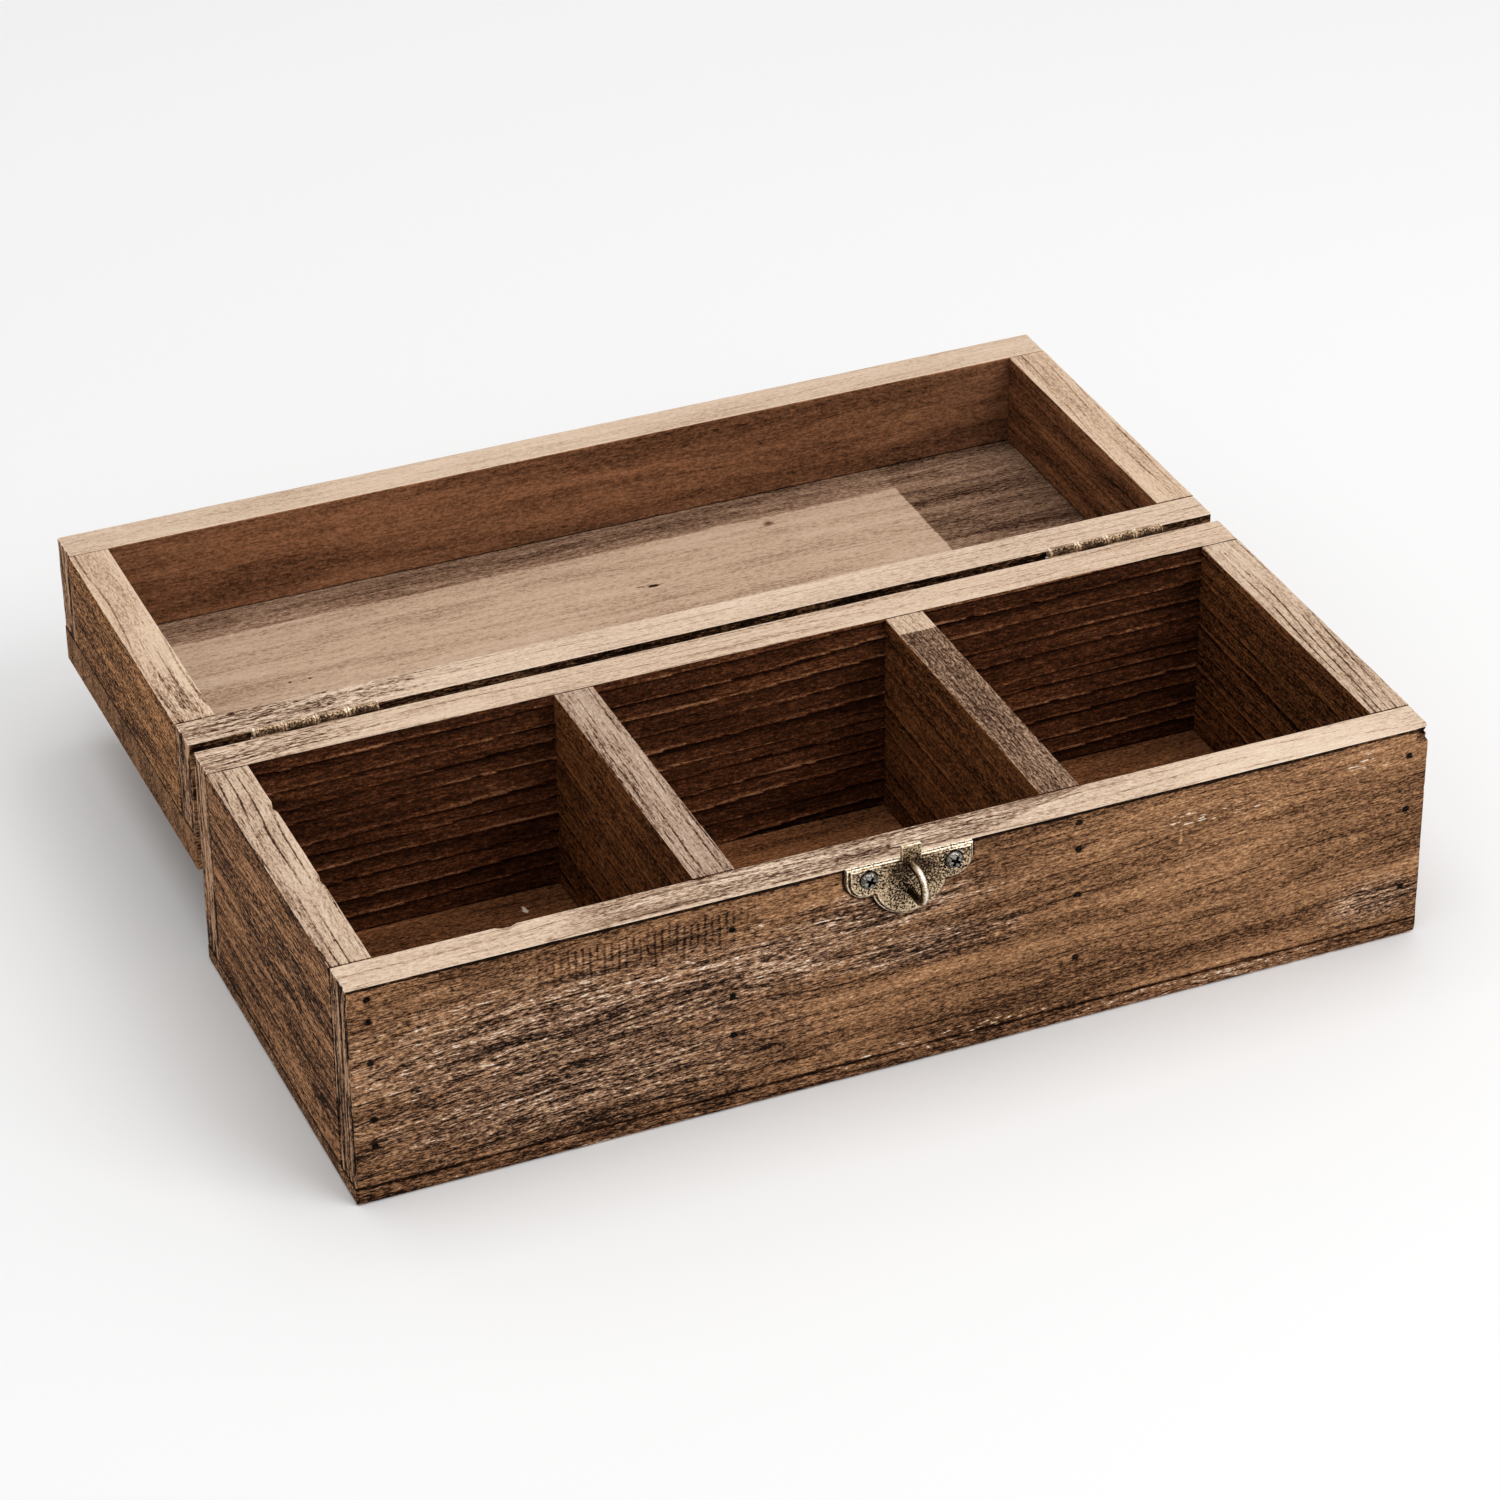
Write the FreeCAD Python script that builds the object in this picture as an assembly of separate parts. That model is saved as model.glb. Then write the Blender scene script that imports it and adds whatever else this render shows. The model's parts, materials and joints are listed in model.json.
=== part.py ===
import FreeCAD, Part
import math
import os

# Hinged wooden box with cross dividers, a butt-hinged lid and a brass hasp.
# Millimetres. The origin is the centre of the base's sole, X runs along the box, Y to the back, Z up.
# Every lid piece is drawn shut on the base and then swung open to lie behind it.

# Outside of the box, lid shut
box_length = 300.0
box_depth = 119.0
base_height = 65.0
lid_height = 39.5
rim_clearance = 0.3

# Boards of the walls and dividers, the thin panel under the base and the board over the lid
wall_board = 11.5
divider_board = 11.5
bottom_panel = 5.0
lid_board = 11.5
compartment_count = 3

# Sanded outside edges
upright_radius = 1.0
sole_radius = 1.2

# Brads: flat wire without a head, driven just below the surface
brad_wide = 1.6
brad_thick = 1.3
brad_sink = 0.3
board_brad_length = 25.0
panel_brad_length = 16.0

# Brads of each front joint, left to right: drops from the rim, then rises from the sole
front_joint_brads = (
    ((4.0, 10.5, 23.0), (25.0, 17.0)),
    ((10.0, 30.0), (23.0,)),
    ((3.5, 11.5, 25.5), (20.0,)),
    ((8.0, 24.5), (16.0,)),
)
back_joint_brads = ((8.0, 27.0), (13.5,))
lid_joint_brads = ((6.5, 20.5), ())
edge_brad_count = 4
edge_brad_inset = 20.0

# Butt hinges on the back faces
hinge_inset = 17.0
hinge_length = 35.0
hinge_axis_offset = 1.8
hinge_leaf_width = 11.5
hinge_leaf = 0.8
hinge_knuckles = 4
hinge_pin_radius = 0.75
hinge_screw_inset = 6.5
hinge_screw_drop = 6.5

# Sides of the small round stock, and the point of every screw
small_round_sides = 12
screw_tip_radius = 0.2

# Countersunk hinge screws
flat_head_radius = 1.8
flat_shank_radius = 0.9
flat_screw_length = 8.5

# Latch plate on the base, hasp plate on the lid: two ears and a round belly
plate_length = 35.0
plate_depth = 2.0
plate_ear_height = 9.2
plate_ear_radius = 5.5
plate_belly_radius = 10.7
plate_reach = 16.7
plate_border = 0.9
plate_border_depth = 1.0
plate_screw_spacing = 23.5
plate_screw_drop = 3.5
tab_width = 5.6
tab_rise = 4.0
tab_thickness = 1.0
tab_corner = 0.6

# Round-headed plate screws
round_head_radius = 2.6
round_head_crown = 1.7
round_head_height = 1.3
round_head_rim = 0.4
round_shank_radius = 1.1
round_screw_length = 10.0
cross_slot_length = 3.0
cross_slot_width = 0.7
cross_slot_depth = 0.8

# Wire staple in the latch plate
staple_wire_radius = 1.1
staple_bend_radius = 4.1
staple_reach = 10.1

# Hasp flap and its hinge
hasp_axis_rise = 6.5
hasp_barrel_radius = 1.7
hasp_barrel_length = 17.0
hasp_pin_radius = 0.75
flap_knuckle = 9.0
flap_thickness = 1.2
flap_width = 15.0
flap_shoulder_radius = 1.5
flap_overhang = 1.3

# Clearances
pin_play = 0.08
knuckle_gap = 0.3
barrel_clearance = 0.25
plate_clearance = 0.4
slot_side_clearance = 0.6
slot_end_clearance = 0.8
cut_overrun = 0.5

# Places that follow from the sizes
half_length = box_length / 2
half_depth = box_depth / 2
lid_rim = base_height + rim_clearance
lid_crown = lid_rim + lid_height
hinge_axis_y = half_depth + hinge_axis_offset
hinge_axis_z = base_height + rim_clearance / 2
hinge_barrel_radius = hinge_axis_offset - barrel_clearance
plate_face_y = -half_depth - plate_depth
hasp_axis_y = plate_face_y - plate_clearance - flap_thickness / 2
hasp_axis_z = lid_rim + hasp_axis_rise
staple_middle_z = base_height - plate_reach + plate_belly_radius
X = FreeCAD.Vector(1, 0, 0)
Y = FreeCAD.Vector(0, 1, 0)
Z = FreeCAD.Vector(0, 0, 1)


def slab(x0, x1, y0, y1, z0, z1):
    """Box between two opposite corners given in any order."""
    low = FreeCAD.Vector(min(x0, x1), min(y0, y1), min(z0, z1))
    return Part.makeBox(abs(x1 - x0), abs(y1 - y0), abs(z1 - z0), low)


def directed(shape, at, along):
    """Place a shape drawn from the origin along +Z so that it runs from a point along a direction."""
    shape.Placement = FreeCAD.Placement(at, FreeCAD.Rotation(Z, along))
    return shape


def fused(shapes):
    """One clean solid from shapes that overlap."""
    whole = shapes[0].multiFuse(shapes[1:]).removeSplitter()
    return whole.Solids[0] if len(whole.Solids) == 1 else whole


def flat_face(corners):
    return Part.Face(Part.makePolygon(corners + corners[:1]))


def ring(radius, height):
    """Corners of the many-sided outline that a small round bar has about the Z axis."""
    step = 2 * math.pi / small_round_sides
    turns = [i * step for i in range(small_round_sides)]
    return [FreeCAD.Vector(radius * math.cos(a), radius * math.sin(a), height) for a in turns]


def turned(*sections):
    """Small turned piece about the Z axis through (radius, height) sections, upwards, flat between them."""
    rings = [ring(radius, height) for radius, height in sections]
    faces = [flat_face(rings[0][::-1]), flat_face(rings[-1])]
    for low, high in zip(rings, rings[1:]):
        for i in range(small_round_sides):
            faces.append(flat_face([low[i - 1], low[i], high[i], high[i - 1]]))
    return Part.Solid(Part.Shell(faces))


def edges_along(shape, direction):
    """Straight edges that run parallel to a direction."""
    found = []
    for edge in shape.Edges:
        span = edge.Vertexes[-1].Point - edge.Vertexes[0].Point
        if span.Length > 0 and abs(span.normalize().dot(direction)) > 0.999:
            found.append(edge)
    return found


def edges_at_height(edges, height):
    return [edge for edge in edges if abs(edge.CenterOfMass.z - height) < 1e-6]


# Carcass boards

def eased_block(rim, sole):
    """Outside of the base or lid: square at the rim, eased on the uprights and around the sole."""
    block = slab(-half_length, half_length, -half_depth, half_depth, rim, sole)
    uprights = block.makeFillet(upright_radius, edges_along(block, Z))
    long_edges = block.makeFillet(sole_radius, edges_at_height(edges_along(block, X), sole))
    short_edges = block.makeFillet(sole_radius, edges_at_height(edges_along(block, Y), sole))
    return uprights.common(long_edges).common(short_edges)


def carcass(rim, sole, closing):
    """Front, back, left and right walls butted together, and the piece of that thickness closing them."""
    inner = sole + closing if rim > sole else sole - closing
    inside_y = half_depth - wall_board
    inside_x = half_length - wall_board
    block = eased_block(rim, sole)
    boards = (
        slab(-half_length, half_length, -half_depth, -inside_y, rim, inner),
        slab(-half_length, half_length, inside_y, half_depth, rim, inner),
        slab(-half_length, -inside_x, -inside_y, inside_y, rim, inner),
        slab(inside_x, half_length, -inside_y, inside_y, rim, inner),
        slab(-half_length, half_length, -half_depth, half_depth, inner, sole),
    )
    return [board.common(block) for board in boards]


def divider_places():
    """Middles of the dividers, spaced so that all compartments are alike."""
    inside = box_length - 2 * wall_board
    boards = compartment_count - 1
    clear = (inside - boards * divider_board) / compartment_count
    first = -inside / 2 + clear + divider_board / 2
    return [first + i * (clear + divider_board) for i in range(boards)]


def divider(middle_x):
    inside_y = half_depth - wall_board
    half = divider_board / 2
    return slab(middle_x - half, middle_x + half, -inside_y, inside_y, bottom_panel, base_height)


# Brads

def brad(at, inward, length, mouth):
    """Brad under a surface point; a mouth above the surface makes the hole that it leaves instead."""
    half_wide = brad_wide / 2
    half_thick = brad_thick / 2
    wire = slab(-half_wide, half_wide, -half_thick, half_thick, mouth, length)
    return directed(wire, at, inward)


def brads(points, inward, length):
    return [brad(point, inward, length, brad_sink) for point in points]


def brad_holes(points, inward, length):
    return [brad(point, inward, length, -cut_overrun) for point in points]


def joint_points(xs, y, rim, sole, joints):
    """Brad points on a face at y, one joint per x: down from the rim, then back from the sole."""
    away = 1.0 if sole > rim else -1.0
    points = []
    for i, x in enumerate(xs):
        drops, rises = joints[i % len(joints)]
        heights = [rim + away * drop for drop in drops] + [sole - away * rise for rise in rises]
        points += [FreeCAD.Vector(x, y, height) for height in heights]
    return points


def closing_points(xs, sole):
    """Brad points over a closing piece: a row along each long wall and one over each cross board."""
    row_y = half_depth - wall_board / 2
    step = (box_length - 2 * edge_brad_inset) / (edge_brad_count - 1)
    points = []
    for y in (-row_y, row_y):
        for i in range(edge_brad_count):
            points.append(FreeCAD.Vector(-half_length + edge_brad_inset + i * step, y, sole))
    return points + [FreeCAD.Vector(x, 0, sole) for x in xs]


# Screws

def flat_screw(at, inward):
    """Countersunk screw with a pointed shank, its head flush with the point it is driven at."""
    head_end = (flat_shank_radius, hinge_leaf)
    screw = turned((flat_head_radius, 0), head_end, (screw_tip_radius, flat_screw_length))
    return directed(screw, at, inward)


def round_screw(at, inward):
    """Cross-slot screw with a crowned head and a pointed shank, standing on the point it is driven at."""
    top = -round_head_height
    head = turned((round_head_crown, top), (round_head_radius, -round_head_rim), (round_head_radius, 0))
    shank = turned((round_shank_radius, 0), (screw_tip_radius, round_screw_length))
    half = cross_slot_length / 2
    width = cross_slot_width / 2
    floor = top + cross_slot_depth
    cross = slab(-half, half, -width, width, top - cut_overrun, floor)
    cross = cross.fuse(slab(-width, width, -half, half, top - cut_overrun, floor))
    return directed(fused([head, shank]).cut(cross), at, inward)


def plate_screw_points(edge_z, toward):
    """Screw seats of a latch or hasp plate, set back from its straight edge."""
    z = edge_z + toward * plate_screw_drop
    return [FreeCAD.Vector(side * plate_screw_spacing / 2, plate_face_y, z) for side in (-1, 1)]


# Butt hinges

def knuckle_span(hinge_x, index):
    pitch = hinge_length / hinge_knuckles
    return hinge_x + index * pitch + knuckle_gap / 2, hinge_x + (index + 1) * pitch - knuckle_gap / 2


def hinge_leaf_plate(hinge_x, side, bore_radius):
    """Leaf against the back face, below the pin (side -1) or above it (side 1), with its knuckles."""
    near = hinge_axis_z + side * (hinge_barrel_radius + knuckle_gap)
    far = hinge_axis_z + side * hinge_leaf_width
    outer = half_depth + hinge_leaf
    pieces = [slab(hinge_x, hinge_x + hinge_length, half_depth, outer, near, far)]
    first = 0 if side < 0 else 1
    for index in range(first, hinge_knuckles, 2):
        start, end = knuckle_span(hinge_x, index)
        pieces.append(slab(start, end, half_depth, outer, hinge_axis_z + side * barrel_clearance, near))
        centre = FreeCAD.Vector(start, hinge_axis_y, hinge_axis_z)
        pieces.append(Part.makeCylinder(hinge_barrel_radius, end - start, centre, X))
    bore_start = FreeCAD.Vector(hinge_x, hinge_axis_y, hinge_axis_z)
    bore = Part.makeCylinder(bore_radius, hinge_length, bore_start, X)
    return fused(pieces).cut(bore)


def hinge_pin(hinge_x):
    start = FreeCAD.Vector(hinge_x, hinge_axis_y, hinge_axis_z)
    return Part.makeCylinder(hinge_pin_radius, hinge_length, start, X)


def hinge_screw_points(hinge_x, side):
    """Screw heads on the face of a leaf, one near each end."""
    xs = (hinge_x + hinge_screw_inset, hinge_x + hinge_length - hinge_screw_inset)
    z = hinge_axis_z + side * hinge_screw_drop
    return [FreeCAD.Vector(x, half_depth + hinge_leaf, z) for x in xs]


# Latch and hasp

def eared_outline(edge_z, toward, inset, front_y, back_y):
    """Layer of a plate on the front face: a straight edge, two round-cornered ears and a round belly."""
    half = plate_length / 2 - inset
    radius = plate_belly_radius - inset
    start = edge_z + toward * inset
    ear_end = edge_z + toward * (plate_ear_height - inset)
    ears = slab(-half, half, front_y, back_y, start, ear_end)
    ears = ears.makeFillet(plate_ear_radius - inset, edges_at_height(edges_along(ears, Y), ear_end))
    belly_centre = FreeCAD.Vector(0, front_y, edge_z + toward * (plate_reach - plate_belly_radius))
    belly = Part.makeCylinder(radius, back_y - front_y, belly_centre, Y)
    beyond = slab(-half, half, front_y, back_y, start, start - toward * plate_reach)
    return fused([ears, belly.cut(beyond)])


def eared_plate(edge_z, toward):
    """Stamped plate: a flat border with the field raised inside it."""
    step_y = -half_depth - plate_border_depth
    border = eared_outline(edge_z, toward, 0.0, step_y, -half_depth)
    field = eared_outline(edge_z, toward, plate_border, plate_face_y, step_y)
    return fused([border, field])


def latch_plate():
    """Base plate with the tab that stands up past the rim at its middle."""
    half = tab_width / 2
    tab_back = plate_face_y + tab_thickness
    tab_top = base_height + tab_rise
    tab = slab(-half, half, plate_face_y, tab_back, base_height - 2 * plate_border, tab_top)
    tab = tab.makeFillet(tab_corner, edges_at_height(edges_along(tab, Y), tab_top))
    return fused([eared_plate(base_height, -1), tab])


def latch_staple():
    """Wire bent to a U on its side, both legs riveted through the plate."""
    bend_y = -half_depth - staple_reach + staple_bend_radius
    middle = FreeCAD.Vector(0, bend_y, staple_middle_z)
    upper = FreeCAD.Vector(0, bend_y, staple_middle_z + staple_bend_radius)
    lower = FreeCAD.Vector(0, bend_y, staple_middle_z - staple_bend_radius)
    section = directed(flat_face(ring(staple_wire_radius, 0)), upper, Y)
    bend = section.revolve(middle, X, 180)
    tail = (staple_wire_radius, -half_depth - bend_y)
    legs = [directed(turned((staple_wire_radius, 0), tail), end, Y) for end in (upper, lower)]
    return fused([bend] + legs)


def hasp_barrel(start_x, end_x):
    start = FreeCAD.Vector(start_x, hasp_axis_y, hasp_axis_z)
    return Part.makeCylinder(hasp_barrel_radius, end_x - start_x, start, X)


def hasp_bore(radius):
    start = FreeCAD.Vector(-hasp_barrel_length / 2, hasp_axis_y, hasp_axis_z)
    return Part.makeCylinder(radius, hasp_barrel_length, start, X)


def hasp_plate():
    """Lid plate: its straight edge is curled into a knuckle on each side of the flap's own."""
    plate = eared_plate(hasp_axis_z, 1)
    inner = flap_knuckle / 2 + knuckle_gap
    outer = hasp_barrel_length / 2
    notch_top = hasp_axis_z + hasp_barrel_radius + knuckle_gap
    notch = slab(-inner, inner, plate_face_y - cut_overrun, -half_depth, hasp_axis_z, notch_top)
    shape = fused([plate, hasp_barrel(-outer, -inner), hasp_barrel(inner, outer)])
    return shape.cut(notch).cut(hasp_bore(hasp_pin_radius))


def hasp_flap():
    """Slotted flap, drawn latched: a knuckle, a neck, shoulders and a round end."""
    front = hasp_axis_y - flap_thickness / 2
    back = hasp_axis_y + flap_thickness / 2
    half = flap_width / 2
    neck = flap_knuckle / 2
    shoulder_z = hasp_axis_z - hasp_barrel_radius - knuckle_gap
    end_z = base_height - plate_reach - flap_overhang + half
    body = slab(-half, half, front, back, shoulder_z, end_z)
    body = body.makeFillet(flap_shoulder_radius, edges_at_height(edges_along(body, Y), shoulder_z))
    tip = Part.makeCylinder(half, flap_thickness, FreeCAD.Vector(0, front, end_z), Y)
    stem = slab(-neck, neck, front, back, hasp_axis_z, shoulder_z - flap_shoulder_radius)
    slot_half = staple_wire_radius + slot_side_clearance
    slot_reach = staple_bend_radius + staple_wire_radius + slot_end_clearance - slot_half
    slot_top = staple_middle_z + slot_reach
    slot_end = staple_middle_z - slot_reach
    slot = [slab(-slot_half, slot_half, front - cut_overrun, back + cut_overrun, slot_top, slot_end)]
    for z in (slot_top, slot_end):
        start = FreeCAD.Vector(0, front - cut_overrun, z)
        slot.append(Part.makeCylinder(slot_half, flap_thickness + 2 * cut_overrun, start, Y))
    shape = fused([body, tip, stem, hasp_barrel(-neck, neck)])
    return shape.cut(fused(slot)).cut(hasp_bore(hasp_pin_radius + pin_play))


# Poses

def folded(shape):
    """Turn the flap from latched to folded back over its plate."""
    shape.rotate(FreeCAD.Vector(0, hasp_axis_y, hasp_axis_z), X, -180)
    return shape


def opened(shape):
    """Swing a piece of the shut lid open about the hinge pins."""
    shape.rotate(FreeCAD.Vector(0, hinge_axis_y, hinge_axis_z), X, -180)
    return shape


def drilled(shape, tools):
    """The shape without the holes of the fasteners that reach it."""
    reached = [tool for tool in tools if shape.BoundBox.intersect(tool.BoundBox)]
    return shape.cut(reached) if reached else shape


# Fastener points, shared by the fasteners and their holes
end_xs = [wall_board / 2 - half_length, half_length - wall_board / 2]
divider_xs = divider_places()
cross_xs = [end_xs[0]] + divider_xs + [end_xs[1]]
front_points = joint_points(cross_xs, -half_depth, base_height, 0.0, front_joint_brads)
back_points = joint_points(cross_xs, half_depth, base_height, 0.0, [back_joint_brads])
bottom_points = closing_points(cross_xs, 0.0)
lid_front_points = joint_points(end_xs, -half_depth, lid_rim, lid_crown, [lid_joint_brads])
lid_back_points = joint_points(end_xs, half_depth, lid_rim, lid_crown, [lid_joint_brads])
lid_top_points = closing_points(end_xs, lid_crown)
hinge_xs = {"left": -half_length + hinge_inset, "right": half_length - hinge_inset - hinge_length}

# Fasteners
end_brads = brads([point for point in front_points if point.x in end_xs], Y, board_brad_length)
end_brads += brads([point for point in back_points if point.x in end_xs], -Y, board_brad_length)
divider_brads = brads([point for point in front_points if point.x in divider_xs], Y, board_brad_length)
divider_brads += brads([point for point in back_points if point.x in divider_xs], -Y, board_brad_length)
bottom_brads = brads(bottom_points, Z, panel_brad_length)
lid_front_brads = brads(lid_front_points, Y, board_brad_length)
lid_back_brads = brads(lid_back_points, -Y, board_brad_length)
lid_top_brads = brads(lid_top_points, -Z, board_brad_length)
latch_screws = [round_screw(point, Y) for point in plate_screw_points(base_height, -1)]
hasp_screws = [round_screw(point, Y) for point in plate_screw_points(hasp_axis_z, 1)]
base_hinge_screws = []
lid_hinge_screws = []
for hinge_x in hinge_xs.values():
    base_hinge_screws += [flat_screw(point, -Y) for point in hinge_screw_points(hinge_x, -1)]
    lid_hinge_screws += [flat_screw(point, -Y) for point in hinge_screw_points(hinge_x, 1)]

# Holes
base_holes = brad_holes(front_points, Y, board_brad_length)
base_holes += brad_holes(back_points, -Y, board_brad_length)
base_holes += brad_holes(bottom_points, Z, panel_brad_length)
base_holes += latch_screws + base_hinge_screws
lid_holes = brad_holes(lid_front_points, Y, board_brad_length)
lid_holes += brad_holes(lid_back_points, -Y, board_brad_length)
lid_holes += brad_holes(lid_top_points, -Z, board_brad_length)
lid_holes += hasp_screws + lid_hinge_screws

# Base
base_boards = [drilled(board, base_holes) for board in carcass(base_height, 0.0, bottom_panel)]
staple = latch_staple()
nodes = {
    "base_front_board": base_boards[0],
    "base_back_board": base_boards[1],
    "base_left_board": base_boards[2],
    "base_right_board": base_boards[3],
    "base_bottom_panel": base_boards[4],
    "base_wall_brads": Part.makeCompound(end_brads),
    "divider_brads": Part.makeCompound(divider_brads),
    "bottom_brads": Part.makeCompound(bottom_brads),
    "latch_plate": drilled(latch_plate(), latch_screws).cut(staple),
    "latch_staple": staple,
    "latch_screws": Part.makeCompound(latch_screws),
    "hinge_base_screws": Part.makeCompound(base_hinge_screws),
}
divider_names = ["left_divider", "right_divider"]
if len(divider_xs) != 2:
    divider_names = ["divider_%d" % (i + 1) for i in range(len(divider_xs))]
for name, x in zip(divider_names, divider_xs):
    nodes[name] = drilled(divider(x), base_holes)
for side, hinge_x in hinge_xs.items():
    leaf = hinge_leaf_plate(hinge_x, -1, hinge_pin_radius)
    nodes[side + "_hinge_base_leaf"] = drilled(leaf, base_hinge_screws)
    nodes[side + "_hinge_pin"] = hinge_pin(hinge_x)

# Lid, drawn shut and laid open
lid_boards = [drilled(board, lid_holes) for board in carcass(lid_rim, lid_crown, lid_board)]
lid_nodes = {
    "lid_front_board": lid_boards[0],
    "lid_back_board": lid_boards[1],
    "lid_left_board": lid_boards[2],
    "lid_right_board": lid_boards[3],
    "lid_top_board": lid_boards[4],
    "lid_wall_brads": Part.makeCompound(lid_front_brads + lid_back_brads),
    "lid_top_brads": Part.makeCompound(lid_top_brads),
    "hinge_lid_screws": Part.makeCompound(lid_hinge_screws),
    "hasp_plate": drilled(hasp_plate(), hasp_screws),
    "hasp_pin": hasp_bore(hasp_pin_radius),
    "hasp_screws": Part.makeCompound(hasp_screws),
    "hasp_flap": folded(hasp_flap()),
}
for side, hinge_x in hinge_xs.items():
    leaf = hinge_leaf_plate(hinge_x, 1, hinge_pin_radius + pin_play)
    lid_nodes[side + "_hinge_lid_leaf"] = drilled(leaf, lid_hinge_screws)
for name, shape in lid_nodes.items():
    nodes[name] = opened(shape)

os.makedirs("parts", exist_ok=True)
for name, shape in nodes.items():
    shape.exportStep(os.path.join("parts", name + ".step"))
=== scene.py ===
import json
import math
import bmesh
import bpy
from mathutils import Matrix, Vector, kdtree, noise


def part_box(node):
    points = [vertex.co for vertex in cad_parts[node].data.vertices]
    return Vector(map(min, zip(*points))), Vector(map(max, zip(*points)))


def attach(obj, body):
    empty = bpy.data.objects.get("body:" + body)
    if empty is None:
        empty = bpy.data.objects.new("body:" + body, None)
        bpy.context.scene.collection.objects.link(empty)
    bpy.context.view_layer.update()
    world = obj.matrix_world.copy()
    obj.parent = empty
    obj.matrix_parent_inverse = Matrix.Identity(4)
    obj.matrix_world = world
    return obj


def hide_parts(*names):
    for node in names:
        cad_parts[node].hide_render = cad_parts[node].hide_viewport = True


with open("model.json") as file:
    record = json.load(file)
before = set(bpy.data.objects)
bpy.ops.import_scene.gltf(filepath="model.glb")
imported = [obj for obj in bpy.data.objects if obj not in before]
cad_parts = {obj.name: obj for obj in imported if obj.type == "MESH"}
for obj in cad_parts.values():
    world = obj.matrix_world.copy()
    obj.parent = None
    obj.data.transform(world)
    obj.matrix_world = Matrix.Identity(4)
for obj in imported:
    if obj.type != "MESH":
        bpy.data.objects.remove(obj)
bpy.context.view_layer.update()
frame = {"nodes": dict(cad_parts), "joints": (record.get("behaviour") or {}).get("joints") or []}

# Base front and back boards
# Two full-length softwood boards, stained brown, that run past the end boards and show their end grain.
# They are nailed to the end boards and dividers; their rims were sanded bare and have been knocked about.
mm = 0.001
sides = {"-x": (0, -1), "+x": (0, 1), "-y": (1, -1), "+y": (1, 1), "-z": (2, -1), "+z": (2, 1)}


def graded(share, half):
    """Place between -half and half for an even share from -1 to 1, closer together near both ends."""
    reach = min(2 * mm, half / 5)
    crowding = 0.86
    inward = 1 - abs(share)
    pull = crowding * reach / half
    place = inward - pull * (1 - math.exp(-inward * half / reach))
    return math.copysign(half * (1 - place / (1 - pull * (1 - math.exp(-half / reach)))), share)


def sawn_block(node, cells):
    """Block in a node's place, its six faces cut into grids that are finer towards the edges."""
    low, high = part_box(node)
    bm = bmesh.new()
    bmesh.ops.create_cube(bm, size=2)
    for axis in range(3):
        along = [edge for edge in bm.edges if abs(edge.verts[0].co[axis] - edge.verts[1].co[axis]) > 0.001]
        bmesh.ops.subdivide_edges(bm, edges=along, cuts=cells[axis] - 1, use_grid_fill=True)
    middle = (low + high) / 2
    half = (high - low) / 2
    for vert in bm.verts:
        vert.co = Vector([middle[axis] + graded(vert.co[axis], half[axis]) for axis in range(3)])
    return bm, low, high


def side_of(face):
    """Name of the side of a block that a face lies on."""
    axis = max(range(3), key=lambda i: abs(face.normal[i]))
    return ("+" if face.normal[axis] > 0 else "-") + "xyz"[axis]


def smooth_step(value, low, high):
    """Soft step of a number from low, which gives 0, to high, which gives 1."""
    share = min(1.0, max(0.0, (value - low) / (high - low)))
    return share * share * (3 - 2 * share)


def planed(stretch):
    """Shallow waviness left by the plane, drawn out along the grain; gives depth and tone."""
    deep = 0.05

    def surface(x, y, z):
        swell = noise.noise((x / stretch[0], y / stretch[1], z / stretch[2]))
        return deep * (1 + swell), 0.0
    return surface


def rough_sawn(pitch, deep):
    """Long torn ledges one above the other, as a rip saw leaves them, with a painted highlight on each
    ledge's torn edge and a painted shadow beneath it.
    """
    def surface(x, y, z):
        run = x + y
        height = z - 0.02 * run + 2.6 * noise.noise((z / 8, 5.0, 0.0))
        height += 1.3 * noise.noise((run / 55, z / 16, 0.0))
        height += 0.3 * noise.noise((run / 7, z / 3, 4.0))
        step = (height / pitch) % 1.0
        torn = max(0.12, 0.75 + 0.8 * noise.noise((run / 40, math.floor(height / pitch) * 3.7, 9.0)))
        # Painted highlight on each torn ledge and painted shadow under it, given back as a tone change
        painted_lip_highlight = 1 - smooth_step(step * pitch, 0.5, 1.1)
        shadow = max(0.0, 1 - (1 - step) * pitch / 1.4)
        return deep * torn * (0.1 + 0.9 * step), torn * (0.75 * painted_lip_highlight - 0.8 * shadow)
    return surface


long_grain = (30.0, 2.6, 2.6)
cross_grain = (2.6, 30.0, 2.6)


def end_ripple(x, y, z):
    """Upright ripples of torn end grain, dark where they are deep."""
    swell = noise.noise((x / 4, y / 1.2 + 1.1 * noise.noise((y / 5, z / 8, 1.0)), z / 18))
    swell += 0.5 * noise.noise((x / 4, y / 0.8, z / 6))
    return 0.2 * max(0.0, 1 + swell), -1.6 * swell


def refine(bm, spots, cuts):
    """Cut the faces around some points finer, so that a pit or a nick there has a shape."""
    tree = kdtree.KDTree(len(bm.verts))
    bm.verts.ensure_lookup_table()
    for index, vert in enumerate(bm.verts):
        tree.insert(vert.co, index)
    tree.balance()
    near = set()
    for place, reach in spots:
        near.update(bm.verts[index] for _, index, _ in tree.find_range(Vector(place) * mm, reach * mm))
    edges = {edge for vert in near for edge in vert.link_edges if edge.other_vert(vert) in near}
    bmesh.ops.subdivide_edges(bm, edges=list(edges), cuts=cuts, use_grid_fill=True)


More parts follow.
